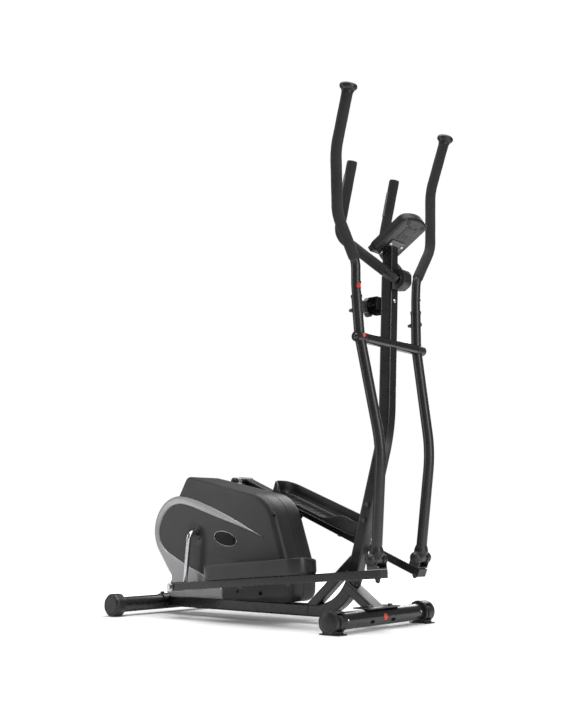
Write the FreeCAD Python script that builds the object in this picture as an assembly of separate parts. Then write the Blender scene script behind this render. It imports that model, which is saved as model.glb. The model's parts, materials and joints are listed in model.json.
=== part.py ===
import FreeCAD, Part
import math
import os

V = FreeCAD.Vector

# Elliptical trainer, millimetres. +X is the way the user faces, +Y is the user's left, +Z is up.
# The origin is on the floor under the middle of the machine.

# ---- driving dimensions -------------------------------------------------------------------------
# Places along X are set out from a point this far behind the middle of the machine.
MIDDLE_X = 20.2

# floor frame
FRONT_STAB_X = 408.0
FRONT_STAB_Z = 35.0
REAR_STAB_X = -497.5
REAR_STAB_Z = 37.0
STAB_R = 25.0
STAB_WALL = 1.8
SADDLE_T = 3.2
FRONT_STAB_HALF = 208.0
REAR_STAB_HALF = 232.0
FRONT_CAP_R = 33.0
FRONT_CAP_FACE = 253.0
FRONT_CAP_DOME = 6.0
PLUG_PLACES = (-70.0, 37.0)
REAR_CAP_FLATS = 74.0
REAR_CAP_FACE = 267.0
BASE_Z = 40.0
BASE_H = 38.0
BASE_W = 40.0
TUBE_WALL = 2.0
TUBE_EDGE = 5.0
RISER_START_X = 150.0
RISER_R = 150.0
POST_SLOPE = 0.283
POST_FOOT_X = 336.0
POST_FOOT_Z = 213.0
POST_JOINT_Z = 292.0
SPIGOT_TOP_Z = 398.0
POST_W = 40.0
POST_BEND = (443.0, 591.0)
POST_BEND_R = 600.0
POST_TOP = (462.5, 1062.0)

# crank and drive
CRANK_X = -290.0
CRANK_Z = 278.0
CRANK_R = 178.0
CRANK_ANGLE = -95.6
CRANK_ROD_R = 8.25
CRANK_AXLE_R = 10.0
SHELL_BORE_R = 17.0
CRANK_PLANE = 110.0
PIN_SPLIT = 120.0
DRIVE_PULLEY_R = 112.0
SMALL_PULLEY_R = 24.0
BELT_Y = 42.0
BELT_W = 11.0
BELT_T = 3.0
FLYWHEEL_X = -45.0
FLYWHEEL_Z = 195.0
FLYWHEEL_R = 110.0
FLYWHEEL_HALF = 10.0
MAGNET_PIVOT = (-150.0, 292.0)

# housing
HOUSING_HALF = 75.0
HOUSING_WALL = 3.0
HOUSING_ROUND = 15.0
RING_X = -385.0
RING_Z = 283.0
RING_R = 118.0
RING_INNER_R = 88.0

# swing arms
PIVOT_X = 461.0
PIVOT_Z = 851.0
ARM_R = 15.9
ARM_BORE_R = 14.35
BAR_R = 14.3
BAR_BORE_R = 12.5
FOAM_R = 17.0
SWING_R = 645.8
REST_SWING = 1.64
SLEEVE_IN = 137.0
SLEEVE_OUT = 177.0
BUSH_R = 10.0
BUSH_FIT = 0.05
AXLE_R = 8.0
CROSS_TUBE_R = 16.0
CROSS_TUBE_END = 134.8

# pedal arms
KNUCKLE_Y = 117.0
KNUCKLE_UP = 41.0
PIN_TO_KNUCKLE = 793.0
PEDAL_ARM_LEN = 812.0
PEDAL_ARM_W = 40.0
PEDAL_ARM_H = 25.0
TOE_IN = 3.03
KNUCKLE_SLEEVE_HALF = 22.5
KNUCKLE_BOLT_R = 6.0
FOOT_START = 158.0
FOOT_END = 575.0
FOOT_HALF = 58.0
FOOT_Y = 145.0
FOOT_FLOOR = 7.0
FOOT_WALL_H = 49.0
CRANK_SWEEP = 194.0
FOOT_CORNER = 44.0

# console and fixed handlebar
CONSOLE_X = 427.0
CONSOLE_Z = 1155.0
CONSOLE_TILT = 32.3
CONSOLE_LEN = 145.0
CONSOLE_BOW = 17.0
CONSOLE_HALF = 65.0
CONSOLE_T = 27.0
FACE_T = 10.0
FIXED_R = 12.7
FIXED_FOAM_R = 16.3
KNOB_Z = 977.0
KNOB_R = 31.0


# ---- geometry helpers ---------------------------------------------------------------------------
def cyl(r, start, end):
    """A solid cylinder from one point to another."""
    a = V(*start)
    run = V(*end) - a
    return Part.makeCylinder(r, run.Length, a, run)


def ring(r_out, r_in, start, end):
    """A round sleeve from one point to another."""
    return cyl(r_out, start, end).cut(cyl(r_in, start, end))


def cone(r1, r2, start, end):
    a = V(*start)
    run = V(*end) - a
    return Part.makeCone(r1, r2, run.Length, a, run)


def box(low, high):
    return Part.makeBox(high[0] - low[0], high[1] - low[1], high[2] - low[2], V(*low))


def fuse(shapes):
    out = shapes[0]
    for shape in shapes[1:]:
        out = out.fuse(shape)
    return out.removeSplitter()


def mirrored(shape):
    """The same piece on the user's other side."""
    return shape.mirror(V(0, 0, 0), V(0, 1, 0))


def path_wire(points, radii):
    """Straight runs joined by tangent arcs, one radius per inner corner."""
    pts = [V(*p) for p in points]
    edges = []
    last = pts[0]
    for i in range(1, len(pts) - 1):
        corner = pts[i]
        before = (pts[i - 1] - corner).normalize()
        after = (pts[i + 1] - corner).normalize()
        half_turn = (math.pi - before.getAngle(after)) / 2
        tangent = radii[i - 1] * math.tan(half_turn)
        start = corner + before * tangent
        end = corner + after * tangent
        inward = (before + after).normalize()
        mid = corner + inward * (radii[i - 1] / math.cos(half_turn) - radii[i - 1])
        edges.append(Part.LineSegment(last, start).toShape())
        edges.append(Part.Arc(start, mid, end).toShape())
        last = end
    edges.append(Part.LineSegment(last, pts[-1]).toShape())
    return Part.Wire(edges)


def sweep_round(wire, r):
    first = wire.Edges[0]
    start = first.valueAt(first.FirstParameter)
    along = first.tangentAt(first.FirstParameter)
    profile = Part.Wire([Part.makeCircle(r, start, along)])
    return wire.makePipeShell([profile], True, False)


def round_tube(points, radii, r_out, r_in):
    wire = path_wire(points, radii)
    return sweep_round(wire, r_out).cut(sweep_round(wire, r_in))


def rounded_rect(width, height, edge):
    """A rounded rectangle face about the origin, width along Y and height along Z."""
    blank = box((-1, -width / 2, -height / 2), (1, width / 2, height / 2))
    long_edges = [e for e in blank.Edges if abs(e.tangentAt(e.FirstParameter).x) > 0.9]
    if edge > 0:
        blank = blank.makeFillet(edge, long_edges)
    faces = [f for f in blank.Faces if f.CenterOfMass.x > 0.999]
    return faces[0].translated(V(-1, 0, 0))


def sweep_rect(wire, width, height, edge):
    """A rounded rectangle swept along a wire that lies in a plane of constant Y."""
    first = wire.Edges[0]
    start = first.valueAt(first.FirstParameter)
    along = first.tangentAt(first.FirstParameter)
    face = rounded_rect(width, height, edge)
    tilt = math.degrees(math.atan2(along.z, along.x))
    face = face.rotate(V(0, 0, 0), V(0, 1, 0), -tilt)
    face = face.translated(start)
    return wire.makePipeShell([face.OuterWire], True, False)


def rect_tube(points, radii, width, height, wall, edge=TUBE_EDGE):
    wire = path_wire(points, radii)
    outer = sweep_rect(wire, width, height, edge)
    inner = sweep_rect(wire, width - 2 * wall, height - 2 * wall, max(edge - wall, 0.5))
    return outer.cut(inner)


def outline_face(start, steps):
    """A face in the XZ plane: a step is an end point, or a middle and an end point for an arc."""
    edges = []
    last = V(start[0], 0, start[1])
    for step in steps:
        end = V(step[-2], 0, step[-1])
        if len(step) == 4:
            edges.append(Part.Arc(last, V(step[0], 0, step[1]), end).toShape())
        else:
            edges.append(Part.LineSegment(last, end).toShape())
        last = end
    return Part.Face(Part.Wire(edges))


def prism(face, y_low, y_high):
    return face.translated(V(0, y_low, 0)).extrude(V(0, y_high - y_low, 0))


def hexagon(across, start, end):
    """A hexagonal bolt head or nut between two points."""
    a = V(*start)
    run = V(*end) - a
    corners = []
    side = run.cross(V(0.31, 0.17, 0.94)).normalize()
    for i in range(7):
        turn = FreeCAD.Rotation(run, 60 * i)
        corners.append(a + turn.multVec(side) * (across / math.sqrt(3)))
    return Part.Face(Part.makePolygon(corners)).extrude(run)


def dome(r, height, start, direction):
    """A low round cap: a sphere segment on a flat base."""
    sphere_r = (r * r + height * height) / (2 * height)
    base = V(*start)
    out = V(*direction).normalize()
    ball = Part.makeSphere(sphere_r, base - out * (sphere_r - height))
    keep = Part.makeCylinder(r + 1, height + 1, base, out)
    return ball.common(keep)


def rounded_box(low, high, r, axis):
    """A box whose four edges along one axis are rounded."""
    blank = box(low, high)
    edges = [e for e in blank.Edges if abs(getattr(e.tangentAt(e.FirstParameter), axis)) > 0.9]
    return blank.makeFillet(r, edges)


# ---- places worked out from the driving dimensions ----------------------------------------------
def post_x(z):
    """The centre line of the post below its bend."""
    return POST_FOOT_X + (z - POST_FOOT_Z) * POST_SLOPE


def crank_pin(side):
    """Where the crank holds a pedal arm, in the XZ plane. side is -1 on the right, 1 on the left."""
    angle = math.radians(CRANK_ANGLE + (180 if side > 0 else 0))
    return CRANK_X + CRANK_R * math.cos(angle), CRANK_Z + CRANK_R * math.sin(angle)


def knuckle():
    """The foot of a swing arm at rest, in the XZ plane."""
    lean = math.radians(REST_SWING)
    return PIVOT_X + SWING_R * math.sin(lean), PIVOT_Z - SWING_R * math.cos(lean)


def pedal_tilt(side):
    """How far a pedal arm rises towards the front, in degrees."""
    pin_x, pin_z = crank_pin(side)
    foot_x, foot_z = knuckle()
    line = math.degrees(math.atan2(foot_z - pin_z, foot_x - pin_x))
    return line - math.degrees(math.asin(KNUCKLE_UP / PIN_TO_KNUCKLE))


def knuckle_along():
    return math.sqrt(PIN_TO_KNUCKLE ** 2 - KNUCKLE_UP ** 2)


def place_pedal(shape, side, toed=True):
    """Moves a piece drawn along +X, with its outer side at -Y, onto a pedal arm.
    Its origin is below the knuckle axis on the arm's centre line."""
    if side > 0:
        shape = mirrored(shape)
    shape = shape.copy()
    if toed:
        shape.rotate(V(0, 0, 0), V(0, 0, 1), -side * TOE_IN)
    shape.rotate(V(0, 0, KNUCKLE_UP), V(0, 1, 0), -pedal_tilt(side))
    foot_x, foot_z = knuckle()
    shape.translate(V(foot_x, side * KNUCKLE_Y, foot_z - KNUCKLE_UP))
    return shape


# ---- floor frame --------------------------------------------------------------------------------
def base_tube():
    rear = REAR_STAB_X + STAB_R
    tube = rect_tube([(rear - 6, 0, BASE_Z), (RISER_START_X, 0, BASE_Z)], [], BASE_W, BASE_H, TUBE_WALL)
    saddle = ring(STAB_R + 3.4, STAB_R + 0.2, (REAR_STAB_X, -42, REAR_STAB_Z), (REAR_STAB_X, 42, REAR_STAB_Z))
    above = box((REAR_STAB_X - 24, -50, REAR_STAB_Z), (REAR_STAB_X + 40, 50, REAR_STAB_Z + 60))
    front = box((REAR_STAB_X, -50, REAR_STAB_Z - 14), (REAR_STAB_X + 40, 50, REAR_STAB_Z + 60))
    saddle = saddle.common(above.fuse(front))
    room = cyl(STAB_R + 0.2, (REAR_STAB_X, -60, REAR_STAB_Z), (REAR_STAB_X, 60, REAR_STAB_Z))
    return fuse([tube.cut(room), saddle])


def riser_tube():
    """The curved foot of the post, with the spigot that the post slides over."""
    corner_x = post_x(BASE_Z)
    top = (post_x(POST_JOINT_Z), 0, POST_JOINT_Z)
    curve = rect_tube(
        [(RISER_START_X, 0, BASE_Z), (corner_x, 0, BASE_Z), top], [RISER_R], BASE_W - 2, BASE_H, TUBE_WALL)
    low = (post_x(POST_JOINT_Z - 30), 0, POST_JOINT_Z - 30)
    high = (post_x(SPIGOT_TOP_Z), 0, SPIGOT_TOP_Z)
    inside = POST_W - 2 * TUBE_WALL - 0.2
    spigot = rect_tube([low, high], [], inside - 1.8, inside - 1.8, TUBE_WALL, 3.0)
    return curve.fuse(spigot)


def frame_struts():
    """The diagonal brace behind the post and the short leg to the front stabiliser."""
    brace = rect_tube([(148, 0, 46), (322, 0, 200)], [], 36, 30, TUBE_WALL)
    leg = rect_tube([(300, 0, 121), (402, 0, 47)], [], 56, 30, TUBE_WALL)
    top_z = FRONT_STAB_Z + STAB_R + 0.2
    saddle = rounded_box((FRONT_STAB_X - 42, -84, top_z), (FRONT_STAB_X + 22, 84, top_z + SADDLE_T), 10, "z")
    room = box((FRONT_STAB_X - 80, -60, 0), (FRONT_STAB_X + 80, 60, top_z + SADDLE_T / 2))
    top = (post_x(POST_JOINT_Z), 0, POST_JOINT_Z)
    riser = sweep_rect(
        path_wire([(RISER_START_X, 0, BASE_Z), (post_x(BASE_Z), 0, BASE_Z), top], [RISER_R]),
        BASE_W - 2, BASE_H, TUBE_EDGE)
    base = box((-200, -BASE_W / 2, 0), (RISER_START_X, BASE_W / 2, BASE_Z + BASE_H / 2))
    brace = brace.cut(riser).cut(base)
    brace = biggest(brace)
    leg = biggest(leg.cut(riser).cut(room))
    return Part.makeCompound([brace, fuse([leg, saddle])])


def biggest(shape):
    return sorted(shape.Solids, key=lambda s: s.Volume)[-1]


def front_stabilizer():
    tube = ring(STAB_R, STAB_R - STAB_WALL, (FRONT_STAB_X, -FRONT_STAB_HALF, FRONT_STAB_Z),
                (FRONT_STAB_X, FRONT_STAB_HALF, FRONT_STAB_Z))
    for y in PLUG_PLACES:
        low = (FRONT_STAB_X + 5, y - 10, FRONT_STAB_Z - 14)
        slot = rounded_box(low, (FRONT_STAB_X + 40, y + 10, FRONT_STAB_Z - 5), 4.4, "x")
        tube = tube.cut(slot)
    return tube


def rear_stabilizer():
    return ring(STAB_R, STAB_R - STAB_WALL, (REAR_STAB_X, -REAR_STAB_HALF, REAR_STAB_Z),
                (REAR_STAB_X, REAR_STAB_HALF, REAR_STAB_Z))


WHEEL_X = FRONT_STAB_X + 15
WHEEL_Z = FRONT_STAB_Z - 1
WHEEL_Y = 228.0
WHEEL_R = 21.0
WHEEL_HALF = 9.5
WHEEL_PIN_R = 4.0


def front_cap():
    """A stabiliser end cap with a pocket for the transport wheel and a flat foot under it."""
    x, z = FRONT_STAB_X, FRONT_STAB_Z
    body = cyl(FRONT_CAP_R, (x, -206, z), (x, -FRONT_CAP_FACE, z))
    body = body.fuse(dome(FRONT_CAP_R, FRONT_CAP_DOME, (x, -FRONT_CAP_FACE, z), (0, -1, 0)))
    foot = rounded_box((x - 37, -251, 0), (x + 37, -208, 3.2), 8, "z")
    web = box((x - 22, -250, 1), (x + 22, -210, 20))
    body = fuse([body, foot, web])
    pocket = box((x - 10, -WHEEL_Y - WHEEL_HALF - 2, z - 26), (x + 60, -WHEEL_Y + WHEEL_HALF + 2, z + 25))
    socket = cyl(STAB_R + 0.1, (x, -200, z), (x, -FRONT_STAB_HALF - 0.5, z))
    pin = cyl(WHEEL_PIN_R, (WHEEL_X, -250, WHEEL_Z), (WHEEL_X, -212, WHEEL_Z))
    return body.cut(pocket).cut(socket).cut(pin)


def front_caps():
    cap = front_cap()
    return Part.makeCompound([cap, mirrored(cap)])


def rear_caps():
    """Eight-sided levelling caps on the ends of the rear stabiliser."""
    x, z = REAR_STAB_X, REAR_STAB_Z
    corner_r = REAR_CAP_FLATS / 2 / math.cos(math.pi / 8)
    corners = []
    for i in range(9):
        angle = math.pi / 8 + i * math.pi / 4
        corners.append(V(x + corner_r * math.cos(angle), -229, z + corner_r * math.sin(angle)))
    body = Part.Face(Part.makePolygon(corners)).extrude(V(0, 229 - REAR_CAP_FACE, 0))
    long_edges = [e for e in body.Edges if abs(e.tangentAt(e.FirstParameter).y) > 0.9]
    body = body.makeFillet(16, long_edges)
    rim = [e for e in body.Edges if e.BoundBox.YMax < 0.1 - REAR_CAP_FACE]
    body = body.makeFillet(5, rim)
    socket = cyl(STAB_R + 0.1, (x, -200, z), (x, -REAR_STAB_HALF - 0.5, z))
    cap = body.cut(socket)
    return Part.makeCompound([cap, mirrored(cap)])


def transport_wheel(side):
    start = (WHEEL_X, side * (WHEEL_Y - WHEEL_HALF), WHEEL_Z)
    end = (WHEEL_X, side * (WHEEL_Y + WHEEL_HALF), WHEEL_Z)
    return ring(WHEEL_R, WHEEL_PIN_R + 0.05, start, end)


# ---- post and its fittings ----------------------------------------------------------------------
def upright_post():
    foot = (post_x(POST_JOINT_Z + 0.5), 0, POST_JOINT_Z + 0.5)
    bend = (POST_BEND[0], 0, POST_BEND[1])
    top = (POST_TOP[0], 0, POST_TOP[1])
    post = rect_tube([foot, bend, top], [POST_BEND_R], POST_W, POST_W, TUBE_WALL, 6.0)
    cross = cyl(16.05, (PIVOT_X, -60, PIVOT_Z), (PIVOT_X, 60, PIVOT_Z))
    return post.cut(cross)


def pivot_axle():
    """The cross tube through the post and the shaft that the swing arms turn on."""
    shapes = [cyl(CROSS_TUBE_R, (PIVOT_X, -CROSS_TUBE_END, PIVOT_Z), (PIVOT_X, CROSS_TUBE_END, PIVOT_Z)),
              cyl(AXLE_R, (PIVOT_X, -181, PIVOT_Z), (PIVOT_X, 181, PIVOT_Z))]
    for side in (-1, 1):
        shapes.append(cyl(15.5, (PIVOT_X, side * 177.6, PIVOT_Z), (PIVOT_X, side * 180.2, PIVOT_Z)))
        shapes.append(dome(9, 5, (PIVOT_X, side * 180.2, PIVOT_Z), (0, side, 0)))
    return fuse(shapes)


def bearing_bushes():
    """The plain bushes: two that the swing arms turn on, and two that carry the crank axle."""
    bushes = []
    for side in (-1, 1):
        bushes.append(ring(BUSH_R, AXLE_R, (PIVOT_X, side * SLEEVE_IN, PIVOT_Z),
                           (PIVOT_X, side * SLEEVE_OUT, PIVOT_Z)))
        bushes.append(ring(SHELL_BORE_R, CRANK_AXLE_R + BUSH_FIT, (CRANK_X, side * 18, CRANK_Z),
                           (CRANK_X, side * 30, CRANK_Z)))
    return Part.makeCompound(bushes)


def upper_post_x(z):
    share = (z - POST_BEND[1]) / (POST_TOP[1] - POST_BEND[1])
    return POST_BEND[0] + share * (POST_TOP[0] - POST_BEND[0])


def frame_bolts():
    """The hexagon bolts of the post joint and saddles, and the transport wheels' pins."""
    bolts = []
    along = V(-1, 0, POST_SLOPE).normalize()
    for z in (365, 318):
        x = post_x(z) + 2
        for side in (-1, 1):
            face = side * POST_W / 2
            bolts.append(hexagon(13, (x, face, z), (x, face + side * 6, z)))
    for z in (387, 341):
        x = post_x(z)
        start = V(x, 0, z) + along * (POST_W / 2)
        end = start + along * 6
        bolts.append(hexagon(13, tuple(start), tuple(end)))
    for side in (-1, 1):
        start = (FRONT_STAB_X, side * 55, FRONT_STAB_Z + STAB_R + 3.4)
        bolts.append(hexagon(13, start, (start[0], start[1], start[2] + 6)))
        start = (REAR_STAB_X, side * 33, REAR_STAB_Z + STAB_R + 3.4)
        bolts.append(hexagon(13, start, (start[0], start[1], start[2] + 6)))
        bolts.append(cyl(WHEEL_PIN_R, (WHEEL_X, side * 213, WHEEL_Z), (WHEEL_X, side * 249, WHEEL_Z)))
    return Part.makeCompound(bolts)


def knob_base():
    rear = upper_post_x(KNOB_Z) - POST_W / 2
    block = rounded_box((rear - 46, -26, KNOB_Z - 27), (rear - 0.2, 26, KNOB_Z + 27), 7, "x")
    groove = box((rear - 20, -40, KNOB_Z - 40), (rear - 17, 40, KNOB_Z + 40))
    core = box((rear - 30, -23, KNOB_Z - 24), (rear - 5, 23, KNOB_Z + 24))
    return fuse([block.cut(groove), core])


def tension_knob():
    """A six-lobed hand knob on the back of the post."""
    front = upper_post_x(KNOB_Z) - POST_W / 2 - 46.5
    body = cyl(KNOB_R - 4, (front, 0, KNOB_Z), (front - 26, 0, KNOB_Z))
    for i in range(6):
        angle = math.radians(60 * i + 30)
        y = (KNOB_R - 9) * math.cos(angle)
        z = KNOB_Z + (KNOB_R - 9) * math.sin(angle)
        body = body.fuse(cyl(10, (front, y, z), (front - 24, y, z)))
    return body.removeSplitter()


# ---- fixed handlebar ----------------------------------------------------------------------------
FIXED_TOP = (406.8, 116.0, 1412.0)
FIXED_BEND = (352.0, 116.0, 1190.0)
FIXED_ROOT = (499.0, 34.0, 1047.0)


def fixed_points():
    side = [FIXED_TOP, FIXED_BEND, FIXED_ROOT]
    right = [(p[0], -p[1], p[2]) for p in side]
    return right + side[::-1]


def fixed_handlebar():
    return round_tube(fixed_points(), [55, 45, 45, 55], FIXED_R, FIXED_R - 2)


def toward(start, end, distance):
    a = V(*start)
    return a + (V(*end) - a).normalize() * distance


def fixed_grips():
    """Foam over the fixed handlebar, from its tips to just short of the clamp."""
    grips = []
    start = tuple(toward(FIXED_TOP, FIXED_BEND, -4))
    end = tuple(toward(FIXED_ROOT, FIXED_BEND, 30))
    wire = path_wire([start, FIXED_BEND, end], [55])
    inner = path_wire([FIXED_TOP, FIXED_BEND, end], [55])
    grip = sweep_round(wire, FIXED_FOAM_R).cut(sweep_round(inner, FIXED_R))
    grips.append(grip)
    grips.append(mirrored(grip))
    return Part.makeCompound(grips)


def pulse_plates():
    """Two curved hand-pulse plates on the back of each fixed grip."""
    plates = []
    low = toward(FIXED_TOP, FIXED_BEND, 118)
    high = toward(FIXED_TOP, FIXED_BEND, 40)
    shell = ring(FIXED_FOAM_R + 1.6, FIXED_FOAM_R + 0.05, tuple(low), tuple(high))
    rear = box((300, 100, 1200), (low.x - 3, 132, 1500))
    rear.rotate(V(low.x, 116, low.z), V(0, 1, 0), 13.9)
    plate = shell.common(rear)
    plates.append(plate)
    plates.append(mirrored(plate))
    return Part.makeCompound(plates)


def clamp_cover():
    """The faceted plastic cover over the handlebar clamp, in front of the post."""
    x, z = FIXED_ROOT[0], FIXED_ROOT[2]
    rear = upper_post_x(z) + POST_W / 2 + 1.6
    front = x + 30
    side_view = outline_face((rear, z - 31), [
        (front - 16, z - 31), (front, z - 17), (front, z + 17), (front - 16, z + 31), (rear, z + 31), (rear, z - 31)])
    plan = [V(rear, -34, 0), V(front - 14, -34, 0), V(front, -19, 0), V(front, 19, 0), V(front - 14, 34, 0),
            V(rear, 34, 0), V(rear, -34, 0)]
    plan_block = Part.Face(Part.makePolygon(plan)).extrude(V(0, 0, 200)).translated(V(0, 0, z - 100))
    shape = prism(side_view, -40, 40).common(plan_block)
    shape = shape.cut(cyl(FIXED_R + 0.05, (x, -50, z), (x, 50, z)))
    for dz in (-20, 20):
        shape = shape.cut(cyl(4, (front - 10, 0, z + dz), (front + 10, 0, z + dz)))
    return shape


# ---- console ------------------------------------------------------------------------------------
def place_console(shape):
    """Moves a piece drawn with the console's face in the XY plane, its near edge at x = 0."""
    shape = shape.copy()
    shape.rotate(V(0, 0, 0), V(0, 1, 0), -CONSOLE_TILT)
    shape.translate(V(CONSOLE_X, 0, CONSOLE_Z))
    return shape


def console_plan(low_z, high_z, inset):
    """The console's outline as a block: straight sides, a bowed front edge and round corners."""
    half = CONSOLE_HALF - inset
    front = CONSOLE_LEN - inset
    edges = [Part.LineSegment(V(front, -half, low_z), V(inset, -half, low_z)).toShape(),
             Part.LineSegment(V(inset, -half, low_z), V(inset, half, low_z)).toShape(),
             Part.LineSegment(V(inset, half, low_z), V(front, half, low_z)).toShape(),
             Part.Arc(V(front, half, low_z), V(front + CONSOLE_BOW, 0, low_z), V(front, -half, low_z)).toShape()]
    blank = Part.Face(Part.Wire(edges)).extrude(V(0, 0, high_z - low_z))
    corners = [e for e in blank.Edges if abs(e.tangentAt(e.FirstParameter).z) > 0.9]
    return blank.makeFillet(22 - inset, corners)


def console_case():
    case = console_plan(-CONSOLE_T, -FACE_T, 0)
    rim = [e for e in case.Edges if e.BoundBox.ZMax < 0.1 - CONSOLE_T]
    case = case.makeFillet(9, rim)
    case = case.cut(console_plan(-CONSOLE_T + 3, -FACE_T + 1, 9))
    door = rounded_box((78, -26, -CONSOLE_T - 1), (124, 26, -CONSOLE_T + 0.8), 3, "z")
    return place_console(case.cut(door))


BUTTON_X = 24.0
BUTTON_PITCH = 32.0
BUTTON_R = 8.0


def console_face():
    face = console_plan(-FACE_T + 0.02, 0, 0)
    face = face.cut(console_plan(-FACE_T - 1, -3, 3))
    window = rounded_box((48, -42, -5), (128, 42, 5), 5, "z")
    face = face.cut(window)
    for i in (-1, 0, 1):
        face = face.cut(cyl(BUTTON_R + 0.35, (BUTTON_X, i * BUTTON_PITCH, -5), (BUTTON_X, i * BUTTON_PITCH, 5)))
    return place_console(face)


def console_lens():
    return place_console(rounded_box((48.05, -41.95, -3), (127.95, 41.95, -0.6), 4.95, "z"))


def console_button(i):
    cap = cyl(BUTTON_R, (BUTTON_X, i * BUTTON_PITCH, -3), (BUTTON_X, i * BUTTON_PITCH, 2.4))
    top = [e for e in cap.Edges if e.CenterOfMass.z > 2]
    return place_console(cap.makeFillet(0.9, top))


def console_bracket():
    """The stalk in the top of the post and the plate that holds the console."""
    low = (upper_post_x(1030), 0, 1030)
    high = (upper_post_x(1175), 0, 1175)
    stalk_w = POST_W - 2 * TUBE_WALL - 0.4
    stalk = rect_tube([low, high], [], stalk_w, stalk_w, TUBE_WALL, 3.0)
    above = place_console(box((-100, -60, -CONSOLE_T - 1.5), (260, 60, 80)))
    plate = place_console(rounded_box((2, -36, -CONSOLE_T - 3.2), (68, 36, -CONSOLE_T - 0.1), 6, "z"))
    return fuse([stalk.cut(above), plate])


# ---- housing ------------------------------------------------------------------------------------
def housing_outline():
    """The side view of the housing: each corner is X, Z and the radius that rounds it."""
    ring_top = RING_Z + RING_R
    ring_rear = RING_X - RING_R
    corners = [
        (108, 61, 38),
        (108, 150, 120),
        (28, 391, 70),
        (-343, 469, 24),
        (-383, ring_top, 3),
        (ring_rear, ring_top, RING_R),
        (ring_rear, 242, RING_R),
        (-409, 123, 18),
        (-458, 61, 20)]
    points = [(-100, 0, 61)] + [(c[0], 0, c[1]) for c in corners] + [(-100, 0, 61)]
    return Part.Face(path_wire(points, [c[2] for c in corners]))


def dark_panel_outline():
    """The inner boundary of the silver trim on the side of the housing."""
    return outline_face((-376, 373), [
        (-447, 346, RING_X - RING_INNER_R, 284),
        (-455, 236, -404, 197),
        (-248, 135),
        (-168, 96),
        (-168, 50),
        (160, 50),
        (160, 240),
        (16, 262),
        (-111, 303),
        (-271, 351),
        (-330, 368, -376, 373)])


def silver_outline():
    """The silver trim: a ring round the rear of the housing, with a tail running forward."""
    return outline_face((-391, 403.5), [
        (-334, 397),
        (-271, 379),
        (-190, 351),
        (-111, 319),
        (16, 262),
        (16, 50),
        (-168, 50),
        (-560, 50),
        (-560, 403.5)])


def housing_half():
    """The right half of the whole housing as one shell."""
    outer = prism(housing_outline(), -HOUSING_HALF, 0)
    rim = [e for e in outer.Edges if abs(e.CenterOfMass.y + HOUSING_HALF) < 0.01]
    outer = outer.makeFillet(HOUSING_ROUND, rim)
    inner_face = housing_outline().makeOffset2D(-HOUSING_WALL)
    inner = prism(inner_face, -HOUSING_HALF + HOUSING_WALL, 10)
    inner_rim = [e for e in inner.Edges if abs(e.CenterOfMass.y + HOUSING_HALF - HOUSING_WALL) < 0.01]
    inner = inner.makeFillet(HOUSING_ROUND - HOUSING_WALL, inner_rim)
    boss = ring(26, 14, (CRANK_X, -HOUSING_HALF + 1, CRANK_Z), (CRANK_X, -HOUSING_HALF - 3, CRANK_Z))
    hole = cyl(14, (CRANK_X, -HOUSING_HALF - 9, CRANK_Z), (CRANK_X, -HOUSING_HALF + 9, CRANK_Z))
    slot = box((-470, -BASE_W / 2 - 0.2, 0), (160, 10, BASE_Z + BASE_H / 2 + 0.2))
    return outer.cut(inner).fuse(boss).cut(hole).cut(slot)


def silver_tool():
    tool = prism(silver_outline(), -HOUSING_HALF - 5, 5)
    return tool.cut(prism(dark_panel_outline(), -HOUSING_HALF - 6, 6))


def housing_pieces():
    half = housing_half()
    tool = silver_tool()
    dark = biggest(half.cut(tool))
    silver = biggest(half.common(tool))
    return dark, silver


# ---- drive inside the housing -------------------------------------------------------------------
def bottom_bracket():
    """The mast and shell that hold the crank axle, and the fork that holds the flywheel."""
    top = BASE_Z + BASE_H / 2
    mast = box((CRANK_X - 18, -18, top), (CRANK_X + 18, 18, CRANK_Z - 10))
    shell = cyl(22, (CRANK_X, -30, CRANK_Z), (CRANK_X, 30, CRANK_Z))
    bore = cyl(SHELL_BORE_R, (CRANK_X, -40, CRANK_Z), (CRANK_X, 40, CRANK_Z))
    crank_mount = fuse([mast, shell]).cut(bore)
    px, pz = MAGNET_PIVOT
    arm = box((CRANK_X + 10, -24, pz - 9), (px + 8, -20, pz + 9))
    pin = cyl(4, (px, -22, pz), (px, 19, pz))
    crank_mount = fuse([crank_mount, arm.cut(bore), pin])
    x = FLYWHEEL_X
    foot = box((x - 20, -30, top), (x + 20, 62, top + 4))
    right = box((x - 14, -30, top), (x + 14, -26, FLYWHEEL_Z + 14))
    left = box((x - 14, 58, top), (x + 14, 62, FLYWHEEL_Z + 14))
    axle = cyl(6, (x, -40, FLYWHEEL_Z), (x, 70, FLYWHEEL_Z))
    fork = fuse([foot, right, left, axle])
    return Part.makeCompound([crank_mount, fork])


def crank_axle():
    return cyl(CRANK_AXLE_R, (CRANK_X, -70, CRANK_Z), (CRANK_X, 70, CRANK_Z))


def crank_arm(side):
    """A bent round rod from the axle to the pin, with a boss and a cap nut at its end."""
    pin_x, pin_z = crank_pin(side)
    plane = side * CRANK_PLANE
    rod = sweep_round(path_wire(
        [(CRANK_X, side * 70, CRANK_Z), (CRANK_X, plane, CRANK_Z), (pin_x, plane, pin_z)], [22]), CRANK_ROD_R)
    boss = cyl(13, (pin_x, side * 101, pin_z), (pin_x, side * (PIN_SPLIT - 0.3), pin_z))
    washer = cyl(14, (pin_x, side * 98.5, pin_z), (pin_x, side * 101, pin_z))
    nut = cyl(12, (pin_x, side * 93, pin_z), (pin_x, side * 98.5, pin_z))
    cap = dome(12, 9, (pin_x, side * 93, pin_z), (0, -side, 0))
    return fuse([rod, boss, washer, nut, cap])


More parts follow.
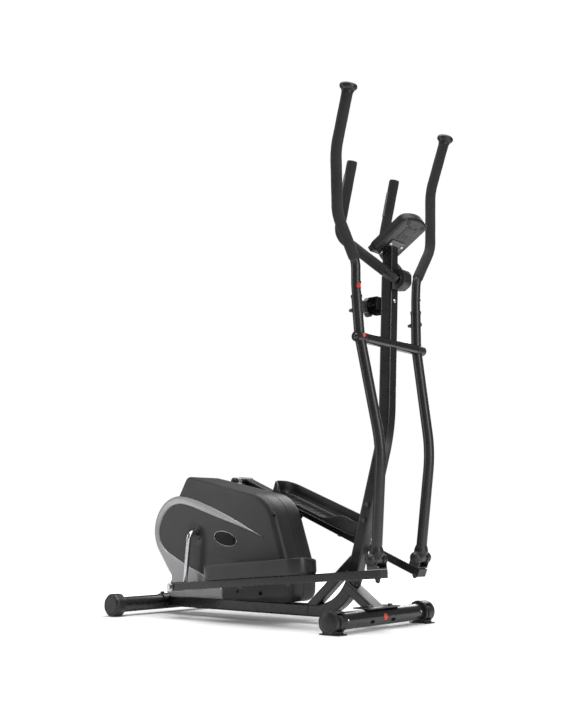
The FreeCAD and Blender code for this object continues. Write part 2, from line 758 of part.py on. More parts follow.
def drive_pulley():
    low = BELT_Y - BELT_W / 2 - 1.5
    high = BELT_Y + BELT_W / 2 + 1.5
    x, z = CRANK_X, CRANK_Z
    disc = cyl(DRIVE_PULLEY_R, (x, low, z), (x, high, z))
    groove = ring(DRIVE_PULLEY_R + 1, DRIVE_PULLEY_R - 3.4, (x, low + 1.2, z), (x, high - 1.2, z))
    recess = ring(DRIVE_PULLEY_R - 12, 26, (x, low - 1, z), (x, BELT_Y - 2, z))
    recess_back = ring(DRIVE_PULLEY_R - 12, 26, (x, BELT_Y + 2, z), (x, high + 1, z))
    holes = []
    for i in range(6):
        angle = math.radians(60 * i)
        hx = x + 64 * math.cos(angle)
        hz = z + 64 * math.sin(angle)
        holes.append(cyl(20, (hx, low - 1, hz), (hx, high + 1, hz)))
    bore = cyl(CRANK_AXLE_R, (x, low - 1, z), (x, high + 1, z))
    return disc.cut(groove).cut(recess).cut(recess_back).cut(fuse(holes)).cut(bore)


def belt_loop(extra):
    """The outline of a belt round both pulleys, a given distance outside their grooves."""
    big_r = DRIVE_PULLEY_R - 3.4 + extra
    small_r = SMALL_PULLEY_R + extra
    dx = FLYWHEEL_X - CRANK_X
    dz = FLYWHEEL_Z - CRANK_Z
    gap = math.hypot(dx, dz)
    lean = math.atan2(dz, dx)
    spread = math.acos((big_r - small_r) / gap)
    points = []
    for centre_x, centre_z, r, angle in (
            (CRANK_X, CRANK_Z, big_r, lean + spread), (FLYWHEEL_X, FLYWHEEL_Z, small_r, lean + spread),
            (FLYWHEEL_X, FLYWHEEL_Z, small_r, lean), (FLYWHEEL_X, FLYWHEEL_Z, small_r, lean - spread),
            (CRANK_X, CRANK_Z, big_r, lean - spread), (CRANK_X, CRANK_Z, big_r, lean + math.pi)):
        points.append((centre_x + r * math.cos(angle), centre_z + r * math.sin(angle)))
    return outline_face(points[0], [
        points[1], points[2] + points[3], points[4], points[5] + points[0]])


def drive_belt():
    low = BELT_Y - BELT_W / 2
    high = BELT_Y + BELT_W / 2
    return prism(belt_loop(0.4 + BELT_T), low, high).cut(prism(belt_loop(0.4), low - 1, high + 1))


def flywheel():
    x, z = FLYWHEEL_X, FLYWHEEL_Z
    disc = cyl(FLYWHEEL_R, (x, -FLYWHEEL_HALF, z), (x, FLYWHEEL_HALF, z))
    dish = ring(FLYWHEEL_R - 20, 24, (x, -FLYWHEEL_HALF - 1, z), (x, -FLYWHEEL_HALF + 5, z))
    dish_back = ring(FLYWHEEL_R - 20, 24, (x, FLYWHEEL_HALF - 5, z), (x, FLYWHEEL_HALF + 1, z))
    hub = cyl(18, (x, -22, z), (x, 52, z))
    low = BELT_Y - BELT_W / 2 - 1.5
    high = BELT_Y + BELT_W / 2 + 1.5
    pulley = cyl(SMALL_PULLEY_R, (x, low, z), (x, high, z))
    flange = cyl(SMALL_PULLEY_R + 4, (x, low - 1.5, z), (x, low, z))
    flange_back = cyl(SMALL_PULLEY_R + 4, (x, high, z), (x, high + 1.5, z))
    bore = cyl(6.05, (x, -60, z), (x, 80, z))
    return fuse([disc.cut(dish).cut(dish_back), hub, pulley, flange, flange_back]).cut(bore)


def magnet_bracket():
    """The curved yoke that carries the brake magnets over the flywheel's rim."""
    x, z = FLYWHEEL_X, FLYWHEEL_Z
    outer = ring(FLYWHEEL_R + 17, FLYWHEEL_R + 14, (x, -17, z), (x, 17, z))
    cheeks = []
    for side in (-1, 1):
        cheeks.append(ring(FLYWHEEL_R + 17, FLYWHEEL_R - 8, (x, side * 14, z), (x, side * 17, z)))
    sector = outline_face((x, z), [(x - 130, z + 120), (x - 60, z + 175), (x + 60, z + 175), (x, z)])
    arc = fuse([outer] + cheeks).common(prism(sector, -20, 20))
    px, pz = MAGNET_PIVOT
    hinge = ring(8, 4.05, (px, -17, pz), (px, 17, pz))
    lug = box((px - 2, -17, pz - 6), (px + 22, 17, pz + 2))
    lug = lug.cut(cyl(FLYWHEEL_R + 14, (x, -30, z), (x, 30, z)))
    pin_room = cyl(4.05, (px, -40, pz), (px, 40, pz))
    return biggest(fuse([arc, hinge, lug]).cut(pin_room))


# ---- swing arms, drawn on the right -------------------------------------------------------------
ARM_TOP = (451.0, -161.0, 979.0)
ARM_NECK = (455.5, -153.5, 858.0)
ARM_KNEE = (512.0, -132.0, 526.0)
BAR_CORNERS = [(450.6, -162.5, 1010.0), (453.0, -165.0, 1080.0), (453.0, -254.5, 1204.0),
               (454.0, -261.0, 1402.0), (507.7, -270.9, 1572.5)]
BAR_RADII = [200, 75, 90, 200]
CAP_R = 27.0
CAP_T = 19.0
FOAM_LOW_Z = 1090.0


def arm_foot():
    foot_x, foot_z = knuckle()
    return (foot_x, -KNUCKLE_Y, foot_z)


def lower_arm():
    points = [ARM_TOP, ARM_NECK, ARM_KNEE, arm_foot()]
    radii = [260, 440]
    wire = path_wire(points, radii)
    tube = sweep_round(wire, ARM_R)
    lip_low = tuple(toward(ARM_TOP, ARM_NECK, 6))
    lip = cyl(ARM_R + 1.3, lip_low, ARM_TOP)
    pivot = cyl(16, (PIVOT_X, -SLEEVE_OUT, PIVOT_Z), (PIVOT_X, -SLEEVE_IN, PIVOT_Z))
    foot_x, _, foot_z = arm_foot()
    eye = cyl(15, (foot_x, -KNUCKLE_Y - KNUCKLE_SLEEVE_HALF, foot_z),
              (foot_x, -KNUCKLE_Y + KNUCKLE_SLEEVE_HALF, foot_z))
    solid = fuse([tube, lip])
    room = cyl(15, (foot_x, -KNUCKLE_Y - 60, foot_z), (foot_x, -KNUCKLE_Y + 60, foot_z))
    below = box((foot_x - 40, -KNUCKLE_Y - 60, foot_z - 60), (foot_x + 40, -KNUCKLE_Y + 60, foot_z))
    solid = biggest(solid.cut(room).cut(below))
    solid = solid.cut(sweep_round(wire, ARM_BORE_R))
    solid = fuse([solid, pivot, eye])
    bore = cyl(BUSH_R + BUSH_FIT, (PIVOT_X, -SLEEVE_OUT - 1, PIVOT_Z), (PIVOT_X, -SLEEVE_IN + 1, PIVOT_Z))
    eye_bore = cyl(KNUCKLE_BOLT_R + BUSH_FIT, (foot_x, -KNUCKLE_Y - 40, foot_z), (foot_x, -KNUCKLE_Y + 40, foot_z))
    return biggest(solid.cut(bore).cut(eye_bore))


def bar_points():
    start = tuple(toward(ARM_TOP, ARM_NECK, 74))
    return [start] + BAR_CORNERS


def upper_bar():
    return round_tube(bar_points(), BAR_RADII, BAR_R, BAR_BORE_R)


def foam_grip():
    tip = tuple(toward(BAR_CORNERS[4], BAR_CORNERS[3], 6))
    wire = path_wire([BAR_CORNERS[0]] + BAR_CORNERS[1:4] + [tip], BAR_RADII[1:])
    foam = sweep_round(wire, FOAM_R).cut(sweep_round(wire, BAR_R))
    above = Part.makeCylinder(400, 900, V(BAR_CORNERS[1][0], BAR_CORNERS[1][1], FOAM_LOW_Z), V(0, -0.3, 0.95))
    return foam.common(above)


def grip_cap():
    """The mushroom cap on the tip of the moving handlebar."""
    tip = V(*BAR_CORNERS[4])
    along = (tip - V(*BAR_CORNERS[3])).normalize()
    disc = Part.makeCylinder(CAP_R, CAP_T, tip, along)
    rims = [e for e in disc.Edges if isinstance(e.Curve, Part.Circle)]
    disc = disc.makeFillet(CAP_T * 0.46, rims)
    neck = Part.makeCone(FOAM_R + 0.6, CAP_R - 8, 7, tip - along * 5, along)
    plug = Part.makeCylinder(BAR_BORE_R - 0.1, 20, tip - along * 20, along)
    bar = Part.makeCylinder(BAR_R, 40, tip - along * 40, along)
    return fuse([disc, neck.cut(bar), plug])


def arm_bolts():
    """The bolt and cap nut that hold the upper bar in the socket, and one button screw."""
    z = 935.0
    share = (z - ARM_NECK[2]) / (ARM_TOP[2] - ARM_NECK[2])
    x = ARM_NECK[0] + share * (ARM_TOP[0] - ARM_NECK[0])
    y = ARM_NECK[1] + share * (ARM_TOP[1] - ARM_NECK[1])
    head = cyl(6.5, (x + ARM_R - 0.4, y, z), (x + ARM_R + 3, y, z))
    washer = cyl(8, (x - ARM_R + 0.4, y, z), (x - ARM_R - 1.5, y, z))
    nut = cone(7, 4.5, (x - ARM_R - 1.5, y, z), (x - ARM_R - 13, y, z))
    screw = cyl(4.5, (BAR_CORNERS[0][0] + BAR_R - 0.4, BAR_CORNERS[0][1], 1016),
                (BAR_CORNERS[0][0] + BAR_R + 2.4, BAR_CORNERS[0][1], 1016))
    return Part.makeCompound([head, washer.fuse(nut), screw])


# ---- pedal arms, drawn along +X with the outer side at -Y ---------------------------------------
def pedal_arm(side):
    along = knuckle_along()
    start = -along + 12
    end = PEDAL_ARM_LEN - along
    tube = rect_tube([(start, 0, 0), (end, 0, 0)], [], PEDAL_ARM_W, PEDAL_ARM_H, TUBE_WALL, 2.5)
    tube = place_pedal(tube, side)
    x, z = rear_pin(side)
    y = side * rear_pin_y()
    eye = cyl(14.5, (x, side * (PIN_SPLIT + 1), z), (x, y + side * 20, z))
    bore = cyl(9, (x, side * (PIN_SPLIT - 5), z), (x, y + side * 30, z))
    return biggest(fuse([tube, eye]).cut(bore))


def rear_pin_y():
    return KNUCKLE_Y + knuckle_along() * math.sin(math.radians(TOE_IN))


def rear_pin(side):
    """The pedal arm's rear eye in the XZ plane, on the crank's pin circle."""
    along = knuckle_along()
    tilt = math.radians(pedal_tilt(side))
    reach = along * math.cos(math.radians(TOE_IN))
    foot_x, foot_z = knuckle()
    x = foot_x - reach * math.cos(tilt) + KNUCKLE_UP * math.sin(tilt)
    z = foot_z - reach * math.sin(tilt) - KNUCKLE_UP * math.cos(tilt)
    return x, z


def crank_pin_bolt(side):
    """The pin, with its washer and hexagon head, that joins the pedal arm to the crank."""
    x, z = rear_pin(side)
    outer = side * (rear_pin_y() + 20)
    shank = cyl(9, (x, side * (PIN_SPLIT + 0.3), z), (x, outer, z))
    washer = cyl(14.5, (x, outer, z), (x, outer + side * 3.5, z))
    head = hexagon(16, (x, outer + side * 3.5, z), (x, outer + side * 10, z))
    return fuse([shank, washer, head])


def pedal_caps(side):
    """The plug in the front end of the pedal arm and the round caps over the knuckle bolt."""
    end = PEDAL_ARM_LEN - knuckle_along()
    plug = box((end, -PEDAL_ARM_W / 2, -PEDAL_ARM_H / 2), (end + 2.5, PEDAL_ARM_W / 2, PEDAL_ARM_H / 2))
    spigot = box((end - 14, -PEDAL_ARM_W / 2 + 2.2, -PEDAL_ARM_H / 2 + 2.2),
                 (end, PEDAL_ARM_W / 2 - 2.2, PEDAL_ARM_H / 2 - 2.2))
    shapes = [place_pedal(fuse([plug, spigot]), side)]
    for way in (-1, 1):
        cap = dome(18, 15, (0, way * 29, KNUCKLE_UP), (0, way, 0))
        base = cyl(18, (0, way * 26.4, KNUCKLE_UP), (0, way * 29, KNUCKLE_UP))
        shapes.append(place_pedal(fuse([base, cap]), side, toed=False))
    return Part.makeCompound(shapes)


def yoke(side):
    """The folded bracket on the pedal arm that holds the foot of the swing arm."""
    low = PEDAL_ARM_H / 2 + 0.6
    cheeks = []
    for way in (-1, 1):
        y = (23.2 * way, 26.2 * way)
        plate = box((-17, min(y), low), (17, max(y), KNUCKLE_UP))
        top = cyl(17, (0, y[0], KNUCKLE_UP), (0, y[1], KNUCKLE_UP))
        cheeks.append(plate.fuse(top))
    floor = box((-17, -26.2, low), (17, 26.2, low + 4))
    back = box((-17, -26.2, low), (-15, 26.2, KNUCKLE_UP - 16.5))
    bore = cyl(KNUCKLE_BOLT_R, (0, -40, KNUCKLE_UP), (0, 40, KNUCKLE_UP))
    return place_pedal(fuse(cheeks + [floor, back]).cut(bore), side, toed=False)


def pedal_bolts(side):
    """The knuckle bolt, the upright bolt with its cap nut, and the footplate's fixing bolts."""
    low = -PEDAL_ARM_H / 2
    across = cyl(KNUCKLE_BOLT_R, (0, -26.3, KNUCKLE_UP), (0, 26.3, KNUCKLE_UP))
    washer = cyl(9, (0, 0, low), (0, 0, low - 2))
    nut = hexagon(15, (0, 0, low - 2), (0, 0, low - 9))
    cap = dome(6, 5, (0, 0, low - 9), (0, 0, -1))
    head = hexagon(13, (0, 0, PEDAL_ARM_H / 2 + 4.6), (0, 0, PEDAL_ARM_H / 2 + 9))
    shapes = [place_pedal(across, side, toed=False), place_pedal(fuse([washer, nut, cap]), side),
              place_pedal(head, side)]
    for along in (285, 470):
        x = along - knuckle_along()
        under = hexagon(13, (x, 0, low), (x, 0, low - 6))
        shapes.append(place_pedal(under, side))
    return Part.makeCompound(shapes)


def footplate(side):
    """The tray that the foot stands in: high at the heel, toe and outer side, low inside."""
    shift = knuckle_along()
    low = PEDAL_ARM_H / 2
    x0 = FOOT_START - shift
    x1 = FOOT_END - shift
    mid = -(FOOT_Y - KNUCKLE_Y)
    tray = rounded_box((x0, mid - FOOT_HALF, low), (x1, mid + FOOT_HALF, low + FOOT_WALL_H),
                       FOOT_CORNER, "z")
    pocket = rounded_box((x0 + 5, mid - FOOT_HALF + 5, low + FOOT_FLOOR),
                         (x1 - 5, mid + FOOT_HALF - 5, low + FOOT_WALL_H + 5), FOOT_CORNER - 5, "z")
    opening = box((x0 + 50, mid + FOOT_HALF - 12, low + FOOT_FLOOR + 6),
                  (x1 - 110, mid + FOOT_HALF + 5, low + FOOT_WALL_H + 5))
    swept = cyl(CRANK_SWEEP, (CRANK_X, -FOOT_Y - FOOT_HALF, CRANK_Z), (CRANK_X, FOOT_Y + FOOT_HALF, CRANK_Z))
    return place_pedal(tray.cut(pocket).cut(opening), side, toed=False).cut(swept)


# ---- export -------------------------------------------------------------------------------------
def seat(nodes, name, *others):
    """Cuts a pocket in one piece for each piece that stands in it, and drops loose offcuts."""
    shape = nodes[name]
    for other in others:
        shape = shape.cut(nodes[other])
    nodes[name] = max(shape.Solids, key=lambda solid: solid.Volume)


def build():
    dark, silver = housing_pieces()
    nodes = {
        "base_tube": base_tube(),
        "riser_tube": riser_tube(),
        "frame_struts": frame_struts(),
        "front_stabilizer": front_stabilizer(),
        "rear_stabilizer": rear_stabilizer(),
        "front_caps": front_caps(),
        "rear_caps": rear_caps(),
        "upright_post": upright_post(),
        "frame_bolts": frame_bolts(),
        "pivot_axle": pivot_axle(),
        "bearing_bushes": bearing_bushes(),
        "knob_base": knob_base(),
        "tension_knob": tension_knob(),
        "clamp_cover": clamp_cover(),
        "fixed_handlebar": fixed_handlebar(),
        "fixed_grips": fixed_grips(),
        "pulse_plates": pulse_plates(),
        "console_case": console_case(),
        "console_face": console_face(),
        "console_lens": console_lens(),
        "console_bracket": console_bracket(),
        "housing_right": dark,
        "housing_left": mirrored(dark),
        "trim_right": silver,
        "trim_left": mirrored(silver),
        "bottom_bracket": bottom_bracket(),
        "crank_axle": crank_axle(),
        "drive_pulley": drive_pulley(),
        "drive_belt": drive_belt(),
        "flywheel": flywheel(),
        "magnet_bracket": magnet_bracket(),
    }
    for i, name in ((-1, "mode"), (0, "set"), (1, "reset")):
        nodes[name + "_button"] = console_button(i)
    right_arm = {
        "lower_arm": lower_arm(),
        "upper_bar": upper_bar(),
        "foam_grip": foam_grip(),
        "grip_cap": grip_cap(),
        "arm_bolts": arm_bolts(),
    }
    for name, shape in right_arm.items():
        nodes[name + "_right"] = shape
        nodes[name + "_left"] = mirrored(shape)
    for side, word in ((-1, "_right"), (1, "_left")):
        nodes["transport_wheel" + word] = transport_wheel(side)
        nodes["crank_arm" + word] = crank_arm(side)
        nodes["pedal_arm" + word] = pedal_arm(side)
        nodes["crank_pin" + word] = crank_pin_bolt(side)
        nodes["pedal_caps" + word] = pedal_caps(side)
        nodes["yoke" + word] = yoke(side)
        nodes["pedal_bolts" + word] = pedal_bolts(side)
        nodes["footplate" + word] = footplate(side)
    for word in ("_right", "_left"):
        seat(nodes, "housing" + word, "bottom_bracket")
        seat(nodes, "trim" + word, "bottom_bracket")
        seat(nodes, "lower_arm" + word, "upper_bar" + word, "arm_bolts" + word)
    seat(nodes, "clamp_cover", "fixed_handlebar")
    seat(nodes, "console_bracket", "upright_post")
    seat(nodes, "knob_base", "upright_post")
    return nodes


os.makedirs("parts", exist_ok=True)
for node_name, node_shape in build().items():
    node_shape = node_shape.copy()
    node_shape.translate(V(-MIDDLE_X, 0, 0))
    node_shape.exportStep("parts/" + node_name + ".step")
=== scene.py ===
import json
import math

import bmesh
import bpy
import numpy as np
from mathutils import Matrix, Vector
from mathutils.geometry import delaunay_2d_cdt


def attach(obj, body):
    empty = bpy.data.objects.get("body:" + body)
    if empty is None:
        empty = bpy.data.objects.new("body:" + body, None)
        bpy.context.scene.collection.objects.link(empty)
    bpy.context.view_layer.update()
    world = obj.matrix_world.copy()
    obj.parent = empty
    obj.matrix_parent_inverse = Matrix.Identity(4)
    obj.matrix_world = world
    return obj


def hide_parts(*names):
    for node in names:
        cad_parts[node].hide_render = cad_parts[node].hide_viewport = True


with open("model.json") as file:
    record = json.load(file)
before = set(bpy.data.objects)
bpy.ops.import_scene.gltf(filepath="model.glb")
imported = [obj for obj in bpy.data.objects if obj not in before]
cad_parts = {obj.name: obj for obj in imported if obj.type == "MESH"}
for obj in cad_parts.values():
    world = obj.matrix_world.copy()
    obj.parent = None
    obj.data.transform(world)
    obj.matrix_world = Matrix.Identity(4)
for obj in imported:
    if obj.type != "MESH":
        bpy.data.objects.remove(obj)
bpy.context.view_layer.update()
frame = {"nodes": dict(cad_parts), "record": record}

# Lengths are in millimetres from here on. X starts at a point this far behind the middle.
MIDDLE_X = 20.2
MM = 0.001


# ---- materials ----------------------------------------------------------------------------------
def node_tree(name):
    mat = bpy.data.materials.new(name)
    mat.use_nodes = True
    tree = mat.node_tree
    tree.nodes.clear()
    out = tree.nodes.new("ShaderNodeOutputMaterial")
    shader = tree.nodes.new("ShaderNodeBsdfPrincipled")
    tree.links.new(shader.outputs["BSDF"], out.inputs["Surface"])
    return mat, tree, shader


def noise(tree, coords, scale, detail=4.0):
    n = tree.nodes.new("ShaderNodeTexNoise")
    n.inputs["Scale"].default_value = scale
    n.inputs["Detail"].default_value = detail
    tree.links.new(coords, n.inputs["Vector"])
    return n.outputs["Fac"]


def cells(tree, coords, scale):
    n = tree.nodes.new("ShaderNodeTexVoronoi")
    n.feature = "SMOOTH_F1"
    n.inputs["Scale"].default_value = scale
    tree.links.new(coords, n.inputs["Vector"])
    return n.outputs["Distance"]


def remap(tree, value, low, high, at_low, at_high):
    """Maps a value between two limits onto two numbers."""
    n = tree.nodes.new("ShaderNodeMapRange")
    n.inputs["From Min"].default_value = low
    n.inputs["From Max"].default_value = high
    n.inputs["To Min"].default_value = at_low
    n.inputs["To Max"].default_value = at_high
    tree.links.new(value, n.inputs["Value"])
    return n.outputs["Result"]


def tint(tree, value, dark, light):
    n = tree.nodes.new("ShaderNodeValToRGB")
    n.color_ramp.elements[0].position = 0.35
    n.color_ramp.elements[0].color = (*dark, 1)
    n.color_ramp.elements[1].position = 0.65
    n.color_ramp.elements[1].color = (*light, 1)
    tree.links.new(value, n.inputs["Fac"])
    return n.outputs["Color"]


def bump(tree, shader, height, strength, distance, before=None):
    n = tree.nodes.new("ShaderNodeBump")
    n.inputs["Strength"].default_value = strength
    n.inputs["Distance"].default_value = distance
    tree.links.new(height, n.inputs["Height"])
    if before is not None:
        tree.links.new(before, n.inputs["Normal"])
    tree.links.new(n.outputs["Normal"], shader.inputs["Normal"])
    return n.outputs["Normal"]


def finish(name, dark, light, rough, grain=None, cell=None, metallic=0.0, coat=0.0, coat_rough=0.1,
           sheen=0.0, spec=0.5, wear=None, patch=9.0):
    """A surface with colour drift, uneven roughness, fine relief and paler worn edges."""
    mat, tree, shader = node_tree(name)
    coords = tree.nodes.new("ShaderNodeTexCoord").outputs["Object"]
    colour = tint(tree, noise(tree, coords, patch, 5.0), dark, light)
    if wear:
        geo = tree.nodes.new("ShaderNodeNewGeometry")
        edge = remap(tree, geo.outputs["Pointiness"], 0.53, 0.60, 0.0, wear[1])
        mix = tree.nodes.new("ShaderNodeMix")
        mix.data_type = "RGBA"
        mix.inputs[7].default_value = (*wear[0], 1)
        tree.links.new(edge, mix.inputs[0])
        tree.links.new(colour, mix.inputs[6])
        colour = mix.outputs[2]
    tree.links.new(colour, shader.inputs["Base Color"])
    tree.links.new(remap(tree, noise(tree, coords, patch * 4, 6.0), 0.3, 0.7, rough[0], rough[1]),
                   shader.inputs["Roughness"])
    shader.inputs["Metallic"].default_value = metallic
    shader.inputs["Coat Weight"].default_value = coat
    shader.inputs["Coat Roughness"].default_value = coat_rough
    shader.inputs["Sheen Weight"].default_value = sheen
    shader.inputs["Specular IOR Level"].default_value = spec
    before = None
    if grain:
        before = bump(tree, shader, noise(tree, coords, grain[0], 3.0), grain[1], grain[2])
    if cell:
        bump(tree, shader, cells(tree, coords, cell[0]), cell[1], cell[2], before)
    return mat


def grey(v):
    return (v, v, v * 1.03)


MATERIALS = {
    "frame_paint": finish("frame_paint", grey(0.006), grey(0.009), (0.24, 0.32), grain=(900, 0.05, 0.0002),
                          coat=0.25, coat_rough=0.15, spec=0.4, wear=(grey(0.02), 0.3)),
    "arm_paint": finish("arm_paint", grey(0.011), grey(0.015), (0.34, 0.42), grain=(900, 0.05, 0.0002),
                        coat=0.1, coat_rough=0.25, spec=0.4, wear=(grey(0.03), 0.3)),
    "foam": finish("foam", grey(0.016), grey(0.023), (0.78, 0.90), grain=(1500, 0.07, 0.0002),
                   cell=(900, 0.06, 0.0002), sheen=0.05, spec=0.25),
    "dark_plastic": finish("dark_plastic", grey(0.011), grey(0.015), (0.36, 0.46), grain=(1400, 0.10, 0.0002),
                           spec=0.4, wear=(grey(0.03), 0.3)),
    "shell_plastic": finish("shell_plastic", grey(0.019), grey(0.024), (0.40, 0.48),
                            grain=(1600, 0.12, 0.0002), spec=0.4, wear=(grey(0.03), 0.3), patch=4.0),
    "silver_plastic": finish("silver_plastic", grey(0.24), grey(0.28), (0.34, 0.42),
                             grain=(2200, 0.06, 0.0001),
                             metallic=0.3, coat=0.2, coat_rough=0.15, patch=5.0),
    "chrome": finish("chrome", grey(0.50), grey(0.60), (0.20, 0.28), metallic=1.0, grain=(120, 0.02, 0.0003)),
    "zinc": finish("zinc", grey(0.40), grey(0.52), (0.25, 0.40), metallic=1.0, grain=(500, 0.10, 0.0003)),
    "black_steel": finish("black_steel", grey(0.012), grey(0.018), (0.26, 0.40), metallic=0.4,
                          grain=(700, 0.12, 0.0003), wear=(grey(0.08), 0.6)),
    "iron": finish("iron", grey(0.07), grey(0.10), (0.45, 0.60), metallic=0.6, grain=(300, 0.35, 0.0006)),
    "belt_rubber": finish("belt_rubber", grey(0.012), grey(0.018), (0.6, 0.75), grain=(900, 0.3, 0.0003)),
    "bush": finish("bush", (0.55, 0.52, 0.44), (0.62, 0.59, 0.50), (0.4, 0.5), grain=(800, 0.1, 0.0002)),
    "screen": finish("screen", grey(0.010), grey(0.016), (0.05, 0.09), coat=0.6, coat_rough=0.04),
    "button": finish("button", grey(0.12), grey(0.15), (0.55, 0.65), grain=(1300, 0.2, 0.0002)),
    "wheel_plastic": finish("wheel_plastic", grey(0.012), grey(0.016), (0.45, 0.6),
                            grain=(1200, 0.2, 0.0002)),
}
TRAY = finish("tray_plastic", grey(0.012), grey(0.016), (0.32, 0.42), grain=(1300, 0.10, 0.0002),
              spec=0.4, wear=(grey(0.03), 0.3))
# Near-black and nearly unreflective: painted shade standing in for the dark inside of screw holes, bar
# sockets and the stabilizer plugs.
PIT_SHADE = finish("painted_pit_shade", grey(0.002), grey(0.003), (0.6, 0.7), grain=(800, 0.1, 0.0002), spec=0.05)
RED = finish("red_dot", (0.50, 0.035, 0.025), (0.56, 0.05, 0.035), (0.25, 0.32), grain=(900, 0.05, 0.0001))
BADGE = finish("badge", grey(0.004), grey(0.006), (0.36, 0.44), grain=(600, 0.03, 0.0001), spec=0.12)

for sub in frame["record"]["subparts"]:
    node = frame["nodes"][sub["node"]]
    node.data.materials.clear()
    node.data.materials.append(MATERIALS[sub["material_slot"]])


# ---- shape building -----------------------------------------------------------------------------
def smooth(low, high, value):
    t = np.clip((value - low) / (high - low), 0, 1)
    return t * t * (3 - 2 * t)


def turned(direction):
    """A rotation that takes +Z to a direction."""
    return Vector((0, 0, 1)).rotation_difference(Vector(direction)).to_matrix().to_4x4()


def round_path(points, radii, step=6.0):
    """Points along straight runs joined by tangent arcs, one radius per inner corner."""
    pts = [Vector(p) for p in points]
    out = [pts[0]]

    def run_to(end):
        start = out[-1]
        count = max(1, int((end - start).length / step))
        out.extend(start.lerp(end, i / count) for i in range(1, count + 1))

    for i in range(1, len(pts) - 1):
        before = (pts[i - 1] - pts[i]).normalized()
        after = (pts[i + 1] - pts[i]).normalized()
        half = (math.pi - before.angle(after)) / 2
        if half < 0.001:
            continue
        radius = radii[i - 1]
        inward = (before + after).normalized()
        centre = pts[i] + inward * (radius / math.cos(half))
        run_to(pts[i] + before * radius * math.tan(half))
        first = out[-1] - centre
        last = pts[i] + after * radius * math.tan(half) - centre
        count = max(3, int(radius * 2 * half / step))
        out.extend(centre + first.slerp(last, k / count) * radius for k in range(1, count + 1))
    run_to(pts[-1])
    return out


class Form:
    """Vertices and faces of one piece, gathered from several shapes."""

    def __init__(self):
        self.verts = []
        self.faces = []

    def add(self, verts, faces, matrix=None):
        base = len(self.verts)
        for v in verts:
            self.verts.append(matrix @ Vector(v) if matrix else Vector(v))
        self.faces.extend([base + i for i in f] for f in faces)
        return self

    def rings(self, rings, matrix=None, closed=False):
        """Joins rings of equal count, and caps both ends unless they are poles or the rings close."""
        n = len(rings[0])
        verts = [v for ring in rings for v in ring]
        faces = []
        spans = len(rings) if closed else len(rings) - 1
        for k in range(spans):
            a, b = k * n, ((k + 1) % len(rings)) * n
            faces.extend([a + i, a + (i + 1) % n, b + (i + 1) % n, b + i] for i in range(n))
        if not closed:
            faces.append(list(range(n))[::-1])
            faces.append([(len(rings) - 1) * n + i for i in range(n)])
        return self.add(verts, faces, matrix)

    def lathe(self, profile, at, axis, segments=40, squash=(1, 1)):
        """Turns a profile of (radius, height) round an axis that starts at a point."""
        rings = []
        for r, h in profile:
            rings.append([(max(r, 0.02) * math.cos(a) * squash[0], max(r, 0.02) * math.sin(a) * squash[1], h)
                          for a in (2 * math.pi * i / segments for i in range(segments))])
        return self.rings(rings, Matrix.Translation(Vector(at)) @ turned(axis))

    def tube(self, path, radius, segments=32):
        """A round bar along a path. radius is a number or a function of the distances from both ends."""
        pts = [Vector(p) for p in path]
        along = [0.0]
        for a, b in zip(pts, pts[1:]):
            along.append(along[-1] + (b - a).length)
        tangent = (pts[1] - pts[0]).normalized()
        side = tangent.orthogonal().normalized()
        rings = []
        for i, p in enumerate(pts):
            new = (pts[min(i + 1, len(pts) - 1)] - pts[max(i - 1, 0)]).normalized()
            side = tangent.rotation_difference(new) @ side
            tangent = new
            up = tangent.cross(side)
            r = radius(along[i], along[-1] - along[i]) if callable(radius) else radius
            rings.append([p + (side * math.cos(a) + up * math.sin(a)) * r
                          for a in (2 * math.pi * k / segments for k in range(segments))])
        return self.rings(rings)

    def block(self, low, high, bevel, matrix=None, segments=3):
        bm = bmesh.new()
        bmesh.ops.create_cube(bm, size=1)
        for v in bm.verts:
            v.co = Vector(low[i] + (v.co[i] + 0.5) * (high[i] - low[i]) for i in range(3))
        bmesh.ops.bevel(bm, geom=bm.edges[:], offset=bevel, segments=segments, profile=0.5, affect="EDGES")
        self.add([v.co for v in bm.verts], [[v.index for v in f.verts] for f in bm.faces], matrix)
        bm.free()
        return self

    def mirrored(self):
        other = Form()
        other.verts = [Vector((v.x, -v.y, v.z)) for v in self.verts]
        other.faces = [f[::-1] for f in self.faces]
        return other

    def piece(self, name, material, body, slot, replaces=(), sharp=35, wall=0.0):
        """Makes the object, in metres about the middle, and says what it rides on and stands for."""
        mesh = bpy.data.meshes.new(name)
        mesh.from_pydata([((v.x - MIDDLE_X) * MM, v.y * MM, v.z * MM) for v in self.verts], [], self.faces)
        bm = bmesh.new()
        bm.from_mesh(mesh)
        bmesh.ops.remove_doubles(bm, verts=bm.verts, dist=0.00002)
        bmesh.ops.recalc_face_normals(bm, faces=bm.faces)
        bm.to_mesh(mesh)
        bm.free()
        obj = bpy.data.objects.new(name, mesh)
        bpy.context.scene.collection.objects.link(obj)
        if wall:
            mod = obj.modifiers.new("wall", "SOLIDIFY")
            mod.thickness = wall * MM
            mod.offset = -1
            apply_modifiers(obj)
        obj.data.shade_smooth()
        obj.data.set_sharp_from_angle(angle=math.radians(sharp))
        obj.data.materials.clear()
        obj.data.materials.append(material)
        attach(obj, body)
        if replaces:
            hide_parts(*replaces)
        return obj


def apply_modifiers(obj):
    graph = bpy.context.evaluated_depsgraph_get()
    done = bpy.data.meshes.new_from_object(obj.evaluated_get(graph))
    obj.modifiers.clear()
    obj.data = done


